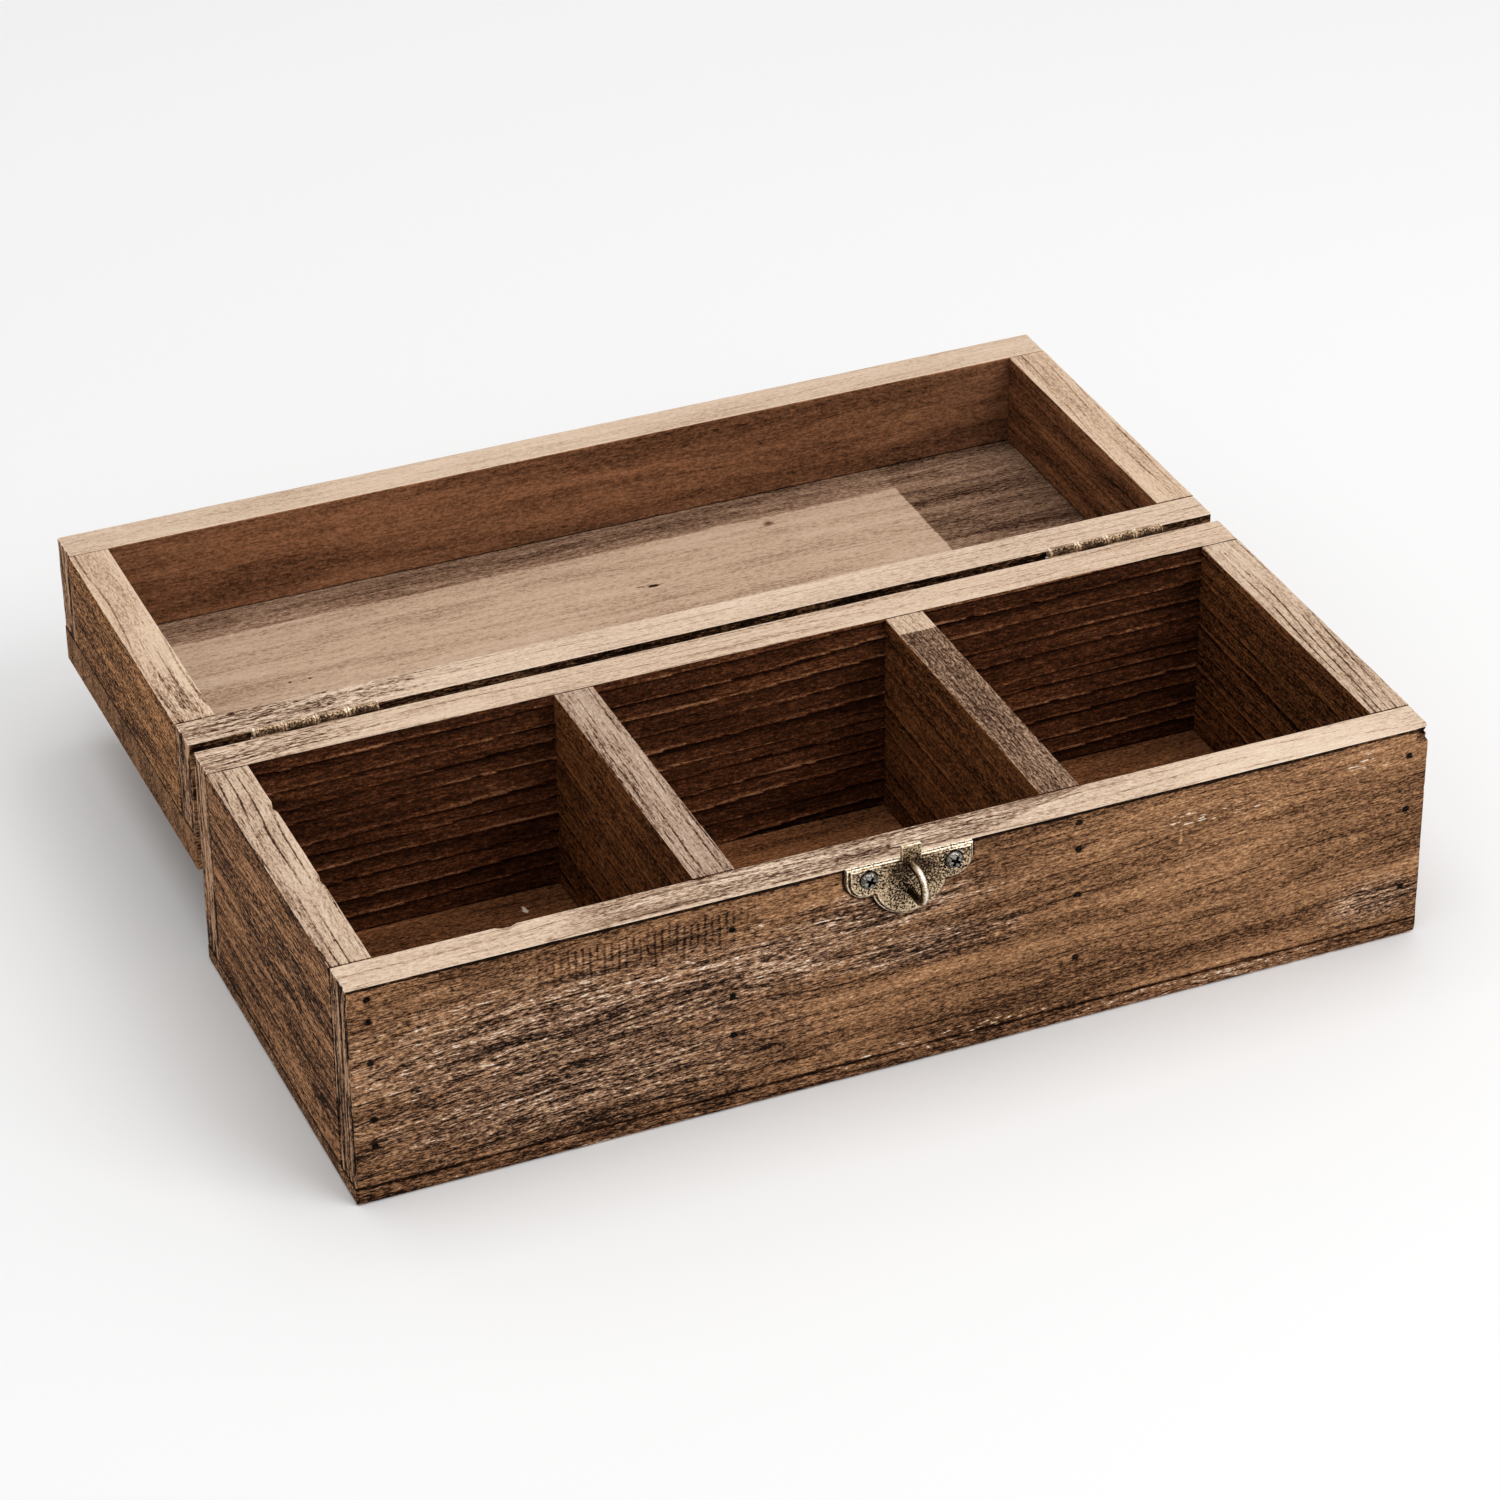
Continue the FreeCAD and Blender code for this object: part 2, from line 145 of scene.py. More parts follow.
def wear(bm, low, high, surfaces, edges, pits=(), nicks=()):
    """Work a flat block inwards: surface relief, eased edges, pits over the brads and nicks in the edges.

    The vertex attribute relief keeps how much lighter or darker each point became."""
    tone = bm.verts.layers.float.new("relief")
    names = list(sides)
    plain = surfaces["plain"]
    pit_core, pit_reach, pit_floor, pit_dark = 0.6, 1.3, 0.46, 0.8
    farthest, uneven, nick_dark = 2.2, 0.15, 0.5
    joined = [(names.index(a), names.index(b), radius, lift) for a, b, radius, lift in edges]
    widest = 0.2 + max(radius for _, _, radius, _ in joined)
    for vert in bm.verts:
        x, y, z = vert.co / mm
        depths = []
        for axis in range(3):
            depths += [(vert.co[axis] - low[axis]) / mm, (high[axis] - vert.co[axis]) / mm]
        shift = [0.0, 0.0, 0.0]
        change = 0.0
        for index, name in enumerate(names):
            if depths[index] > 0.001:
                continue
            axis, sign = sides[name]
            deep, lift = surfaces.get(name, plain)(x, y, z)
            for pit_side, pit in pits:
                if pit_side != name or (Vector(pit) - Vector((x, y, z))).length > farthest:
                    continue
                away = math.hypot(*[pit[i] - (x, y, z)[i] for i in range(3) if i != axis])
                away += 0.2 * noise.noise((x * 2, y * 2, z * 2))
                sunk = 1 - smooth_step(away, pit_core, pit_reach)
                deep = deep * (1 - sunk) + pit_floor * sunk
                lift -= pit_dark * sunk
            shift[axis] -= sign * deep
            change += lift
        if sorted(depths)[1] < widest:
            ease = noise.noise((x / 7, y / 7, z / 7))
            for a, b, radius, lift in joined:
                radius += uneven * ease
                over_a = radius - depths[a]
                over_b = radius - depths[b]
                if over_a <= 0 or over_b <= 0 or math.hypot(over_a, over_b) <= radius:
                    continue
                back = 1 - radius / math.hypot(over_a, over_b)
                for index, over in ((a, over_a), (b, over_b)):
                    axis, sign = sides[names[index]]
                    shift[axis] -= sign * over * back
                    depths[index] += over * back
                change += lift * min(over_a, over_b) / radius
        for place, reach, deep, direction in nicks:
            away = Vector((x, y, z)) - Vector(place)
            if away.length < reach:
                bite = (1 - (away.length / reach) ** 2) * (0.75 + 0.5 * noise.noise((x, y, z)))
                for axis in range(3):
                    shift[axis] += direction[axis] * deep * bite
                change -= nick_dark * bite
        vert.co += Vector(shift) * mm
        vert[tone] = max(-1.0, min(1.0, change))


def brad_tops(node, axis, sign):
    """Middles of the brads' outer ends on one side, in millimetres, read from the frame."""
    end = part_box(node)[1 if sign > 0 else 0][axis]
    brad_width = 3
    tops = []
    for vert in frame["nodes"][node].data.vertices:
        if abs(vert.co[axis] - end) > 0.01 * mm:
            continue
        spot = vert.co / mm
        group = next((top for top in tops if (top[0] - spot).length < brad_width), None)
        if group:
            group.append(spot)
        else:
            tops.append([spot])
    middles = []
    for group in tops:
        span = [[spot[i] for spot in group] for i in range(3)]
        middles.append([(min(values) + max(values)) / 2 for values in span])
    return middles


def outer_pits(nodes, side, low, high):
    """Pits of all brads driven through one side of a board, laid on its face."""
    axis, sign = sides[side]
    pits = []
    for node in nodes:
        for spot in brad_tops(node, axis, sign):
            spot[axis] = (high if sign > 0 else low)[axis] / mm
            pits.append((side, tuple(spot)))
    return pits


def shade(red, green, blue):
    """Linear colour of a display colour."""
    parts = [value / 255 for value in (red, green, blue)]
    return [((c + 0.055) / 1.055) ** 2.4 if c > 0.04 else c / 12.92 for c in parts] + [1.0]


def lay(tree, kind, inputs, **settings):
    """Place a node, with a value or a wire for each named or numbered input."""
    node = tree.nodes.new(kind)
    for name, value in settings.items():
        setattr(node, name, value)
    for name, value in inputs.items():
        if isinstance(value, Wire):
            value.feeds(node.inputs[name])
        else:
            node.inputs[name].default_value = value
    return node


class Wire:
    """Value in a node tree that can be reckoned with like a number."""

    def __init__(self, socket):
        self.socket = socket
        self.tree = socket.id_data

    def feeds(self, socket):
        """Lead this value into an input."""
        self.tree.links.new(self.socket, socket)

    def through(self, kind, inputs, output=0, **settings):
        """Output of a new node in the same tree."""
        return Wire(lay(self.tree, kind, inputs, **settings).outputs[output])

    def maths(self, operation, *values):
        """Result of an operation on values and wires."""
        return self.through("ShaderNodeMath", dict(enumerate(values)), operation=operation)

    def __add__(self, other):
        return self.maths("ADD", self, other)

    def __sub__(self, other):
        return self.maths("SUBTRACT", self, other)

    def __rsub__(self, other):
        return self.maths("SUBTRACT", other, self)

    def __mul__(self, other):
        return self.maths("MULTIPLY", self, other)

    def __abs__(self):
        return self.maths("ABSOLUTE", self)

    def plus(self, value, weight):
        """This value with a weighed one added."""
        return self.maths("MULTIPLY_ADD", value, weight, self)

    def or_more(self, other):
        """The larger of two values."""
        return self.maths("MAXIMUM", self, other)

    def axes(self):
        """X, Y and Z of a place."""
        return [Wire(socket) for socket in lay(self.tree, "ShaderNodeSeparateXYZ", {0: self}).outputs]

    def clouds(self, lengths, detail=2.0, roughness=0.5):
        """Soft noise around 0.5, with a length along each axis of a place."""
        scale = [1 / length for length in lengths]
        scaled = self.through("ShaderNodeVectorMath", {0: self, 1: scale}, operation="MULTIPLY")
        inputs = {"Vector": scaled, "Scale": 1.0, "Detail": detail, "Roughness": roughness}
        return self.through("ShaderNodeTexNoise", inputs, "Fac")

    def between(self, low, high):
        """Smooth step from low, which gives 0, to high, which gives 1."""
        inputs = {"Value": self, "From Min": low, "From Max": high, "To Min": 0.0, "To Max": 1.0}
        return self.through("ShaderNodeMapRange", inputs, "Result", interpolation_type="SMOOTHSTEP")

    def fading(self, low, high):
        """Smooth step from 1 down to 0."""
        return 1.0 - self.between(low, high)

    def ranged(self, low, high):
        """Value from 0 to 1 laid out between two others."""
        return self.through("ShaderNodeMapRange", {"Value": self, "To Min": low, "To Max": high}, "Result")

    def ramped(self, tones):
        """Colour of a tone, from stops of display colours."""
        ramp = lay(self.tree, "ShaderNodeValToRGB", {"Fac": self})
        stops = ramp.color_ramp.elements
        while len(stops) < len(tones):
            stops.new(0.5)
        for stop, (position, colour) in zip(stops, tones):
            stop.position = position
            stop.color = shade(*colour)
        return Wire(ramp.outputs["Color"])

    def placed(self, group, inputs):
        """Wires from the outputs of a group placed in the same tree."""
        node = lay(self.tree, "ShaderNodeGroup", inputs, node_tree=group)
        return {socket.name: Wire(socket) for socket in node.outputs}


def group_of(name, inputs):
    """New shader group with named inputs, and a wire from each of them."""
    tree = bpy.data.node_groups.new(name, "ShaderNodeTree")
    for label, kind in inputs.items():
        tree.interface.new_socket(label, in_out="INPUT", socket_type=kind)
    start = tree.nodes.new("NodeGroupInput")
    return tree, [Wire(start.outputs[label]) for label in inputs]


def put_out(tree, results):
    """Lead a group's named results out of it."""
    for label in results:
        tree.interface.new_socket(label, in_out="OUTPUT", socket_type="NodeSocketFloat")
    end = tree.nodes.new("NodeGroupOutput")
    for label, value in results.items():
        value.feeds(end.inputs[label])
    return tree


def timber_figure():
    """Grain of a board in millimetres, X along the grain; Rings is the growth lines across a millimetre."""
    sockets = {"Place": "NodeSocketVector", "Rings": "NodeSocketFloat"}
    tree, (place, rings) = group_of("timber_figure", sockets)
    sway = (place.clouds((110, 30, 30)) - 0.5) * 16.0
    drift = place.through("ShaderNodeCombineXYZ", {"X": 0.0, "Y": sway, "Z": sway})
    swayed = place.through("ShaderNodeVectorMath", {0: place, 1: drift}, operation="ADD")
    _, y, z = place.axes()
    count = ((y + z).plus(sway, 0.7) * rings).plus(place.clouds((90, 12, 12), 1.0), 1.4)
    off_line = abs(count.maths("FRACT", count) - 0.5)
    broken = place.clouds((26, 1.6, 1.6)).between(0.38, 0.58)
    fold = swayed.clouds((11.0, 2.2, 2.2), 2.0, 0.55)
    return put_out(tree, {
        "Bands": swayed.clouds((90, 8, 8), 5.0, 0.65).between(0.3, 0.7),
        "Streaks": swayed.clouds((24, 1.2, 1.2), 3.0, 0.6).between(0.28, 0.72),
        "Lines": off_line.fading(0.0, rings * 0.38) * broken,
        "Fibre": place.clouds((2.3, 0.5, 0.5), 3.0, 0.8).between(0.28, 0.72),
        "Pores": place.clouds((6.5, 0.55, 0.55), 1.0).between(0.64, 0.74),
        "Grit": place.clouds((0.9, 0.6, 0.6), 2.0, 0.7).between(0.32, 0.68),
        "Crumple": abs(fold - 0.49).fading(0.0, 0.035) - abs(fold - 0.55).fading(0.0, 0.04)})


def soft_patch():
    """Mask of one blotch with an uneven edge, in millimetres."""
    sockets = dict.fromkeys(("Place", "Middle", "Reach"), "NodeSocketVector")
    tree, (place, middle, reach, wobble) = group_of("soft_patch", {**sockets, "Wobble": "NodeSocketFloat"})
    off = place.through("ShaderNodeVectorMath", {0: place, 1: middle}, operation="SUBTRACT")
    share = place.through("ShaderNodeVectorMath", {0: off, 1: reach}, operation="DIVIDE")
    away = place.through("ShaderNodeVectorMath", {0: share}, "Value", operation="LENGTH")
    return put_out(tree, {"Mask": away.plus(wobble - 0.5, 2.0).fading(0.25, 1.15)})


figure_group = timber_figure()
patch_group = soft_patch()


def patch_mask(spot, wobble, middle, reach):
    """Mask of a blotch around a middle, in millimetres."""
    inputs = {"Place": spot, "Middle": middle, "Reach": reach, "Wobble": wobble}
    return spot.placed(patch_group, inputs)["Mask"]


def patch(middle, reach, amount):
    """Mark that makes a blotch lighter or darker."""
    def mark(spot, wobble, tone):
        return tone.plus(patch_mask(spot, wobble, middle, reach), amount)
    return mark


def started(name):
    """New material, its shader's inputs, the place on the piece in millimetres and the relief there."""
    material = bpy.data.materials.new(name)
    material.use_nodes = True
    nodes = material.node_tree.nodes
    place = Wire(nodes.new("ShaderNodeTexCoord").outputs["Object"])
    spot = place.through("ShaderNodeMapping", {"Vector": place, "Scale": (1000, 1000, 1000)})
    relief = place.through("ShaderNodeAttribute", {}, "Fac", attribute_name="relief")
    return material, nodes["Principled BSDF"].inputs, spot, relief


def timber(name, grain, tones, bands=0.3, streaks=0.2, lines=0.3, rings=0.14, fibre=0.6, pores=0.2, grit=0.2,
           rough=(), gain=0.7, crumple=0.0, fade=1.0, marks=(), tilt=0.0, bump=0.4):
    """Board material: figure, marks and relief set one tone, which a colour ramp turns to timber.

    In rough places, given as (middle, reach), raised grain adds contrast and crumples, and colour fades."""
    material, shader, spot, relief = started(name)
    shader["Specular IOR Level"].default_value = 0.04
    turns = {"x": (0.0, tilt, 0.0), "y": (0.0, 0.0, -90.0), "z": (0.0, 90.0, 0.0)}
    turn = [math.radians(angle) for angle in turns[grain]]
    along = spot.through("ShaderNodeMapping", {"Vector": spot, "Rotation": turn})
    figure = along.placed(figure_group, {"Place": along, "Rings": rings})
    wobble = along.clouds((9, 2.2, 2.2), 4.0, 0.65)
    tone = 0.5
    for part, weight in (("Bands", bands), ("Streaks", streaks), ("Fibre", fibre), ("Grit", grit)):
        tone = (figure[part] - 0.5) * weight + tone
    relief_weight = 0.45
    tone = tone.plus(figure["Lines"], -lines).plus(figure["Pores"], -pores).plus(relief, relief_weight)
    raised = 0.0
    for middle, reach in rough:
        raised = patch_mask(spot, wobble, middle, reach).or_more(raised)
    if rough:
        torn = figure["Fibre"] + figure["Streaks"] - 1.0
        tone = tone.plus(raised, (figure["Crumple"] * crumple).plus(torn, gain))
    for mark in marks:
        tone = mark(spot, wobble, tone)
    colour = tone.ramped(tones)
    if fade < 1:
        inputs = {"Saturation": raised.ranged(1.0, fade), "Color": colour}
        colour = colour.through("ShaderNodeHueSaturation", inputs)
    colour.feeds(shader["Base Color"])
    figure["Fibre"].ranged(0.92, 0.7).feeds(shader["Roughness"])
    height = figure["Fibre"].plus(figure["Lines"], -0.6).plus(figure["Grit"], 0.5)
    raised_grain = {"Strength": bump, "Distance": 0.3 * mm, "Height": height}
    height.through("ShaderNodeBump", raised_grain).feeds(shader["Normal"])
    return material


def finished(name, bm, body, slot, materials, *nodes):
    """Turn a mesh into a piece that rides on a body and stands for its CAD nodes."""
    for face in bm.faces:
        face.smooth = True
    sharp = 0.7
    for edge in bm.edges:
        edge.smooth = edge.calc_face_angle(0.0) < sharp
    mesh = bpy.data.meshes.new(name)
    bm.to_mesh(mesh)
    bm.free()
    for material in materials:
        mesh.materials.append(material)
    piece = bpy.data.objects.new(name, mesh)
    bpy.context.scene.collection.objects.link(piece)
    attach(piece, body)
    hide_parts(*nodes)


def board(node, body, slot, cells, surfaces, edges, finishes, brads=None, nicks=()):
    """A worn board in its node's place; finishes gives each side's material, brads (nodes, side) its pits."""
    bm, low, high = sawn_block(node, cells)
    pits = outer_pits(*brads, low, high) if brads else ()
    materials = list(dict.fromkeys(finishes.values()))
    bm.normal_update()
    for face in bm.faces:
        face.material_index = materials.index(finishes.get(side_of(face), finishes["plain"]))
    if pits:
        pit_margin = 2.0
        refine(bm, [(pit, pit_margin) for _, pit in pits], 2)
    if nicks:
        refine(bm, [(place, reach) for place, reach, _, _ in nicks], 2)
    wear(bm, low, high, surfaces, edges, pits, nicks)
    finished(node + "_timber", bm, body, slot, materials, node)


def tones_around(colour, stops):
    """Colour ramp around a middle colour; a stop is a position and the change of red, green and blue."""
    return [(position, [min(255, value * change) for value, change in zip(colour, changes)])
            for position, *changes in stops]


def stained_tones(*colour):
    """Colour ramp of a stained board around its middle colour."""
    return tones_around(colour, ((0.04, 0.12, 0.10, 0.08), (0.28, 0.46, 0.40, 0.35), (0.5, 1, 1, 1),
                                 (0.72, 1.38, 1.44, 1.48), (0.9, 1.66, 1.82, 1.94)))


def bare_tones(*colour):
    """Colour ramp of bare wood: pale, with brown in the lines."""
    return tones_around(colour, ((0.05, 0.26, 0.18, 0.14), (0.28, 0.72, 0.66, 0.62), (0.5, 1, 1, 1),
                                 (0.75, 1.09, 1.13, 1.16), (0.95, 1.22, 1.29, 1.38)))


rubbed_bare = [(1.0, (246, 235, 218))]


def saw_hatch(spot, wobble, tone):
    """Short upright strokes of uneven length that the saw left under the rim of the front board."""
    x, _, z = spot.axes()
    run = (wobble * 0.6).plus(x, 0.52)
    cell = run.maths("FLOOR", run)
    draws = []
    for seed in (cell, cell + 0.5):
        draws.append(spot.through("ShaderNodeTexWhiteNoise", {"W": seed}, "Value", noise_dimensions="1D"))
    off = abs(run.maths("FRACT", run) - 0.5)
    top = z - (draws[0] * -3.0 + 62.5)
    length = draws[1] * 6.0 + 5.0
    stroke = off.fading(0.06, 0.28) * top.fading(-0.8, 0.4) * (top + length).between(-0.8, 0.8)
    place = x.between(-112.0, -84.0) * x.fading(-52.0, -38.0)
    return tone.plus(stroke * place, -0.2)


def span(node, axis):
    """Low and high end of a node along an axis, in millimetres, read from the frame."""
    return [round(corner["xyz".index(axis)] / mm, 3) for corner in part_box(node)]


front_y = span("base_front_board", "y")[0]


def on_front(*spots):
    """Middles and reaches of places on the front board's face, given as x, z, half width and half height."""
    through = 9
    return [((x, front_y, z), (wide, through, high)) for x, z, wide, high in spots]


def white_flecks(spot, wobble, tone):
    """Thin pale scratches where the stain was rubbed off the front board's right end and along its sole."""
    scratch = spot.clouds((3.4, 3.0, 0.55), 1.0).between(0.62, 0.66)
    areas = 0.0
    for middle, reach in on_front((86, 54.5, 22, 3.2), (132, 58, 7, 4), (15, 6, 50, 2.4)):
        areas = patch_mask(spot, wobble, middle, reach).or_more(areas)
    return tone.plus(scratch * areas, 0.6)


rim_z = span("base_front_board", "z")[1]
plate_half = span("latch_plate", "x")[1]
ear_radius, ear_height = 5.5, 9.2
belly_radius, belly_drop = 10.7, 6.0


def slope(run, rise):
    """Length of the slope over a run and a rise."""
    squares = (run * run).plus(rise, rise)
    return squares.maths("SQRT", squares)


def latch_painted_shadow(spot, wobble, tone):
    """Painted shadow: a dark line on the wood around the latch plate's two ears and belly."""
    x, _, z = spot.axes()
    across = abs(x)
    off_belly = slope(across, z - (rim_z - belly_drop)) - belly_radius
    beside = (across - (plate_half - ear_radius)).or_more(0.0)
    below = (rim_z - ear_height + ear_radius - z).or_more(0.0)
    off_ears = slope(beside, below) - ear_radius
    away = off_belly.maths("MINIMUM", off_belly, off_ears)
    return tone.plus(away.fading(0.3, 1.1), -0.5)


def dark_arris(spot, wobble, tone):
    """Stain gathered in a dark line right under the bare rim, and along the joint above the sole."""
    high = spot.axes()[2].plus(wobble, 0.6)
    return tone.plus(high.between(64.1, 64.6), -0.4).plus(high.fading(5.6, 6.4), -0.16)


def rim_wedge(spot, wobble, tone):
    """Stain that ran over the front rim's inner half and left a pale wedge along its outer edge."""
    x, y, _ = spot.axes()
    edge = (x - 19.0).or_more(0.0) * 0.27 - 58.3
    inside = y - edge + (wobble - 0.5)
    stain = inside.between(-0.4, 0.5) * x.plus(wobble, 24.0).between(-84.0, -62.0)
    return tone.plus(stain, -0.2)


torn_front = on_front((-92, 38, 80, 22), (-40, 42, 46, 12), (-8, 49, 38, 9), (4, 36, 30, 7),
                      (-92, 20, 70, 18), (136, 14, 18, 8))
front_blotches = on_front((-100, 36, 40, 8), (-41, 20, 18, 5), (-3, 36, 14, 2.4), (80, 18, 66, 5),
                          (-90, 8, 60, 5), (-100, 18, 40, 3), (-32, 40, 18, 3), (-15, 57, 60, 9),
                          (20, 12, 70, 8), (90, 50, 60, 10), (-120, 52, 34, 6), (-95, 17, 80, 18),
                          (147.8, 63.2, 2.0, 2.6), (77.5, 50, 0.6, 3.4))
blotch_tones = (-0.04, -0.12, -0.2, -0.1, -0.1, 0.08, 0.1, 0.08, -0.08, 0.02, 0.08, -0.09, -0.4, 0.3)
# The latch mark paints the plate's shadow on the front board
front_marks = [saw_hatch, white_flecks, latch_painted_shadow, dark_arris]
front_marks += [patch(*place, amount) for place, amount in zip(front_blotches, blotch_tones)]
front_face = timber("front_board_stain", "x", stained_tones(132, 94, 65) + rubbed_bare, tilt=2.0,
                    bands=0.28, streaks=0.15, lines=0.25, rings=0.11, fibre=0.5, pores=0.2, gain=0.4,
                    crumple=0.17, fade=0.88, rough=torn_front, marks=front_marks)
long_face = timber("long_board_stain", "x", stained_tones(126, 90, 63))
end_face = timber("end_grain_stain", "z", stained_tones(122, 89, 66), bands=0.2, streaks=0.9, fibre=0.9,
                  grit=0.4)
# Tones of the rough inside faces, darker than the outside stain to paint the shade inside the compartments
sawn_tones_with_painted_shade = [(0.05, (12, 5, 3)), (0.28, (40, 20, 10)), (0.5, (74, 41, 23)), (0.72, (124, 74, 46)),
              (0.95, (196, 142, 100))]
long_inside = timber("long_board_inside", "x", sawn_tones_with_painted_shade, bands=0.2, streaks=0.12, lines=0.1, fibre=0.35,
                     pores=0.1)
front_rim = timber("front_rim_bare", "x", bare_tones(224, 197, 171), bands=0.14, streaks=0.08, lines=0.2,
                   rings=0.3, fibre=0.3, pores=0.1, grit=0.1, rough=(((-18, -53, rim_z), (74, 7, 9)),),
                   gain=0.4, crumple=0.05, marks=(rim_wedge, patch((110, -54, rim_z), (60, 12, 9), 0.1)),
                   bump=0.3)
back_rim = timber("back_rim_bare", "x", bare_tones(220, 192, 166), bands=0.16, streaks=0.1, lines=0.2,
                  rings=0.3, fibre=0.28, pores=0.1, grit=0.1, rough=(((-132, 54, rim_z), (30, 9, 9)),),
                  gain=0.4, crumple=0.1, marks=(patch((-135, 54, rim_z), (30, 9, 9), -0.14),), bump=0.3)


def met(side, others, radius, lift):
    """Worn edges where a side meets others: their radius, and how much lighter or darker they became; lighter
    is partly a painted highlight line.
    """
    return [(other, side, radius, lift) for other in others]


ends, faces = ("-x", "+x"), ("-y", "+y")
seam = -1.0
# The lighter rim edges are worn pale wood with a painted highlight line along them; the negative lifts are
# dark joints
long_edges = [*met("+z", faces, 0.45, 0.5), ("-z", "-y", 0.5, seam), ("-z", "+y", 0.2, seam),
              *met("+z", ends, 0.4, 0.3), *met("-z", ends, 0.5, seam)]
front_uprights = met("-y", ends, 1.0, 0.1) + met("+y", ends, 0.3, seam)
back_uprights = met("+y", ends, 1.0, 0.1) + met("-y", ends, 0.3, seam)
base_brad_nodes = ("base_wall_brads", "divider_brads")
# Nicks: place, reach, depth and the way that the wood was pushed in
front_nicks = [((-104, -48, rim_z), 2.6, 0.8, (0, -1, -0.5)), ((-52, -48, rim_z), 2.4, 0.5, (0, -1, -0.6)),
               ((-96, front_y, rim_z), 2.2, 0.6, (0, 1, -0.6)),
               ((-82, front_y, rim_z), 2.0, 0.5, (0, 1, -0.6)),
               ((149, front_y, 63), 3.2, 1.6, (-0.6, 0.8, -0.3)),
               ((149.6, front_y, 45.5), 1.2, 0.4, (-0.7, 0.7, 0))]
rippled_ends = dict.fromkeys(ends, end_ripple)
stained_ends = dict.fromkeys(ends, end_face)
long_cells, cross_cells = (210, 26, 124), (14, 90, 124)
board("base_front_board", "base", "stained_boards", long_cells,
      {"plain": planed(long_grain), "+y": rough_sawn(6.2, 0.7), **rippled_ends},
      long_edges + front_uprights,
      {"plain": front_face, "+y": long_inside, "+z": front_rim, **stained_ends},
      (base_brad_nodes, "-y"), front_nicks)
board("base_back_board", "base", "stained_boards", long_cells,
      {"plain": planed(long_grain), "-y": rough_sawn(5.6, 0.8), **rippled_ends},
      long_edges + back_uprights,
      {"plain": long_face, "-y": long_inside, "+z": back_rim, **stained_ends},
      (base_brad_nodes, "+y"))

# Base end boards
# Short boards butted between the front and back ones, grain along the box's depth, stained like them.
# Their rims are bare, with dark growth lines; the inner edge of the left one is chipped.
# The lighter rim edges are worn pale wood with a painted highlight line along them
cross_edges = [*met("+z", ends, 0.45, 0.5), *met("-z", ends, 0.5, seam), *met("-y", ends, 0.3, seam),
               *met("+y", ends, 0.3, seam), *met("+z", faces, 0.3, seam)]
torn_ends = (((-150, -12, 44), (9, 60, 24)), ((-150, -20, 14), (9, 44, 12)), ((150, 5, 36), (9, 60, 24)))
end_board_face = timber("end_board_stain", "y", stained_tones(116, 79, 53), bands=0.45, streaks=0.4,
                        lines=0.25, rings=0.2, fibre=0.75, grit=0.4, gain=0.4, crumple=0.1,
                        rough=torn_ends)
# Darker than the outside: a darker stain inside together with painted shade of the compartments
cross_inside = timber("cross_board_inside", "y", stained_tones(100, 60, 33), bands=0.3, streaks=0.2,
                      fibre=0.6, grit=0.4)
cross_rim = timber("cross_rim_bare", "y", bare_tones(210, 182, 156), bands=0.25, streaks=0.2, lines=0.42,
                   rings=0.4, fibre=0.38, pores=0.3, grit=0.15, bump=0.3)
left_nicks = [((-138.5, 26, rim_z), 2.2, 0.6, (-1, 0, -0.5)), ((-138.5, -11, rim_z), 2.0, 0.5, (-1, 0, -0.5))]
for node, inside, nicks in (("base_left_board", "+x", left_nicks), ("base_right_board", "-x", ())):
    board(node, "base", "stained_boards", cross_cells,
          {"plain": planed(cross_grain), inside: rough_sawn(7.4, 0.5)}, cross_edges,
          {"plain": end_board_face, inside: cross_inside, "+z": cross_rim}, None, nicks)

# Dividers
# Two cross boards let in between the front and back, tops flush with the rim, sides fuzzy, stained dark and
# darkened further by painted shade.
# The left one's top is half bare; the right one's top is stained but for a pale patch at its back end.


def bare_end(spot, wobble, tone):
    """Stain on the right divider's top, up to a straight edge near its back end."""
    edge = spot.axes()[1].plus(wobble, 0.8)
    return tone.plus(edge.fading(38.6, 39.4), -0.34)


left_top = timber("left_divider_top", "y", bare_tones(182, 154, 132), bands=0.2, streaks=0.35, lines=0.4,
                  rings=0.5, fibre=0.55, pores=0.3, grit=0.15, bump=0.3)
right_top = timber("right_divider_top", "y", bare_tones(216, 187, 160), bands=0.1, streaks=0.12, lines=0.14,
                   rings=0.4, fibre=0.4, pores=0.2, grit=0.15, marks=(bare_end,), bump=0.3)
fuzz = rough_sawn(9.5, 0.3)
for node, top in (("left_divider", left_top), ("right_divider", right_top)):
    board(node, "base", "dividers", cross_cells, {"plain": planed(cross_grain), "-x": fuzz, "+x": fuzz},
          cross_edges, {"plain": cross_inside, "+z": top})

# Bottom panel
# Thin panel under all four walls, its lower edge rounded over by sanding, stained outside and dark inside.
# It is nailed up into the walls from below; the joint shows as a line just above the sole.
panel_edge = timber("panel_edge_stain", "x", stained_tones(110, 76, 52) + rubbed_bare, streaks=0.4,
                    fibre=0.8, lines=0.2, marks=(white_flecks,))
pale_chip = patch((-67, 40, 5), (0.9, 2.0, 3), 1.0)
compartment_floor = timber("compartment_floor", "x", stained_tones(126, 80, 50) + rubbed_bare, bands=0.2,
                           streaks=0.1, lines=0.12, fibre=0.35, pores=0.08, marks=(pale_chip,))
sole_edges = [("-z", "-x", 1.2, 0.15), ("-z", "+x", 3.0, 0.15), *met("-z", faces, 1.2, 0.15),
              *met("+z", ends + faces, 0.5, seam), ("-x", "-y", 1.0, 0.0), ("+x", "-y", 1.2, 0.0),
              *met("+y", ends, 1.0, 0.0)]
board("base_bottom_panel", "base", "panels", (170, 84, 12), {"plain": planed(long_grain)}, sole_edges,
      {"plain": panel_edge, "+z": compartment_floor}, (("bottom_brads",), "-z"))
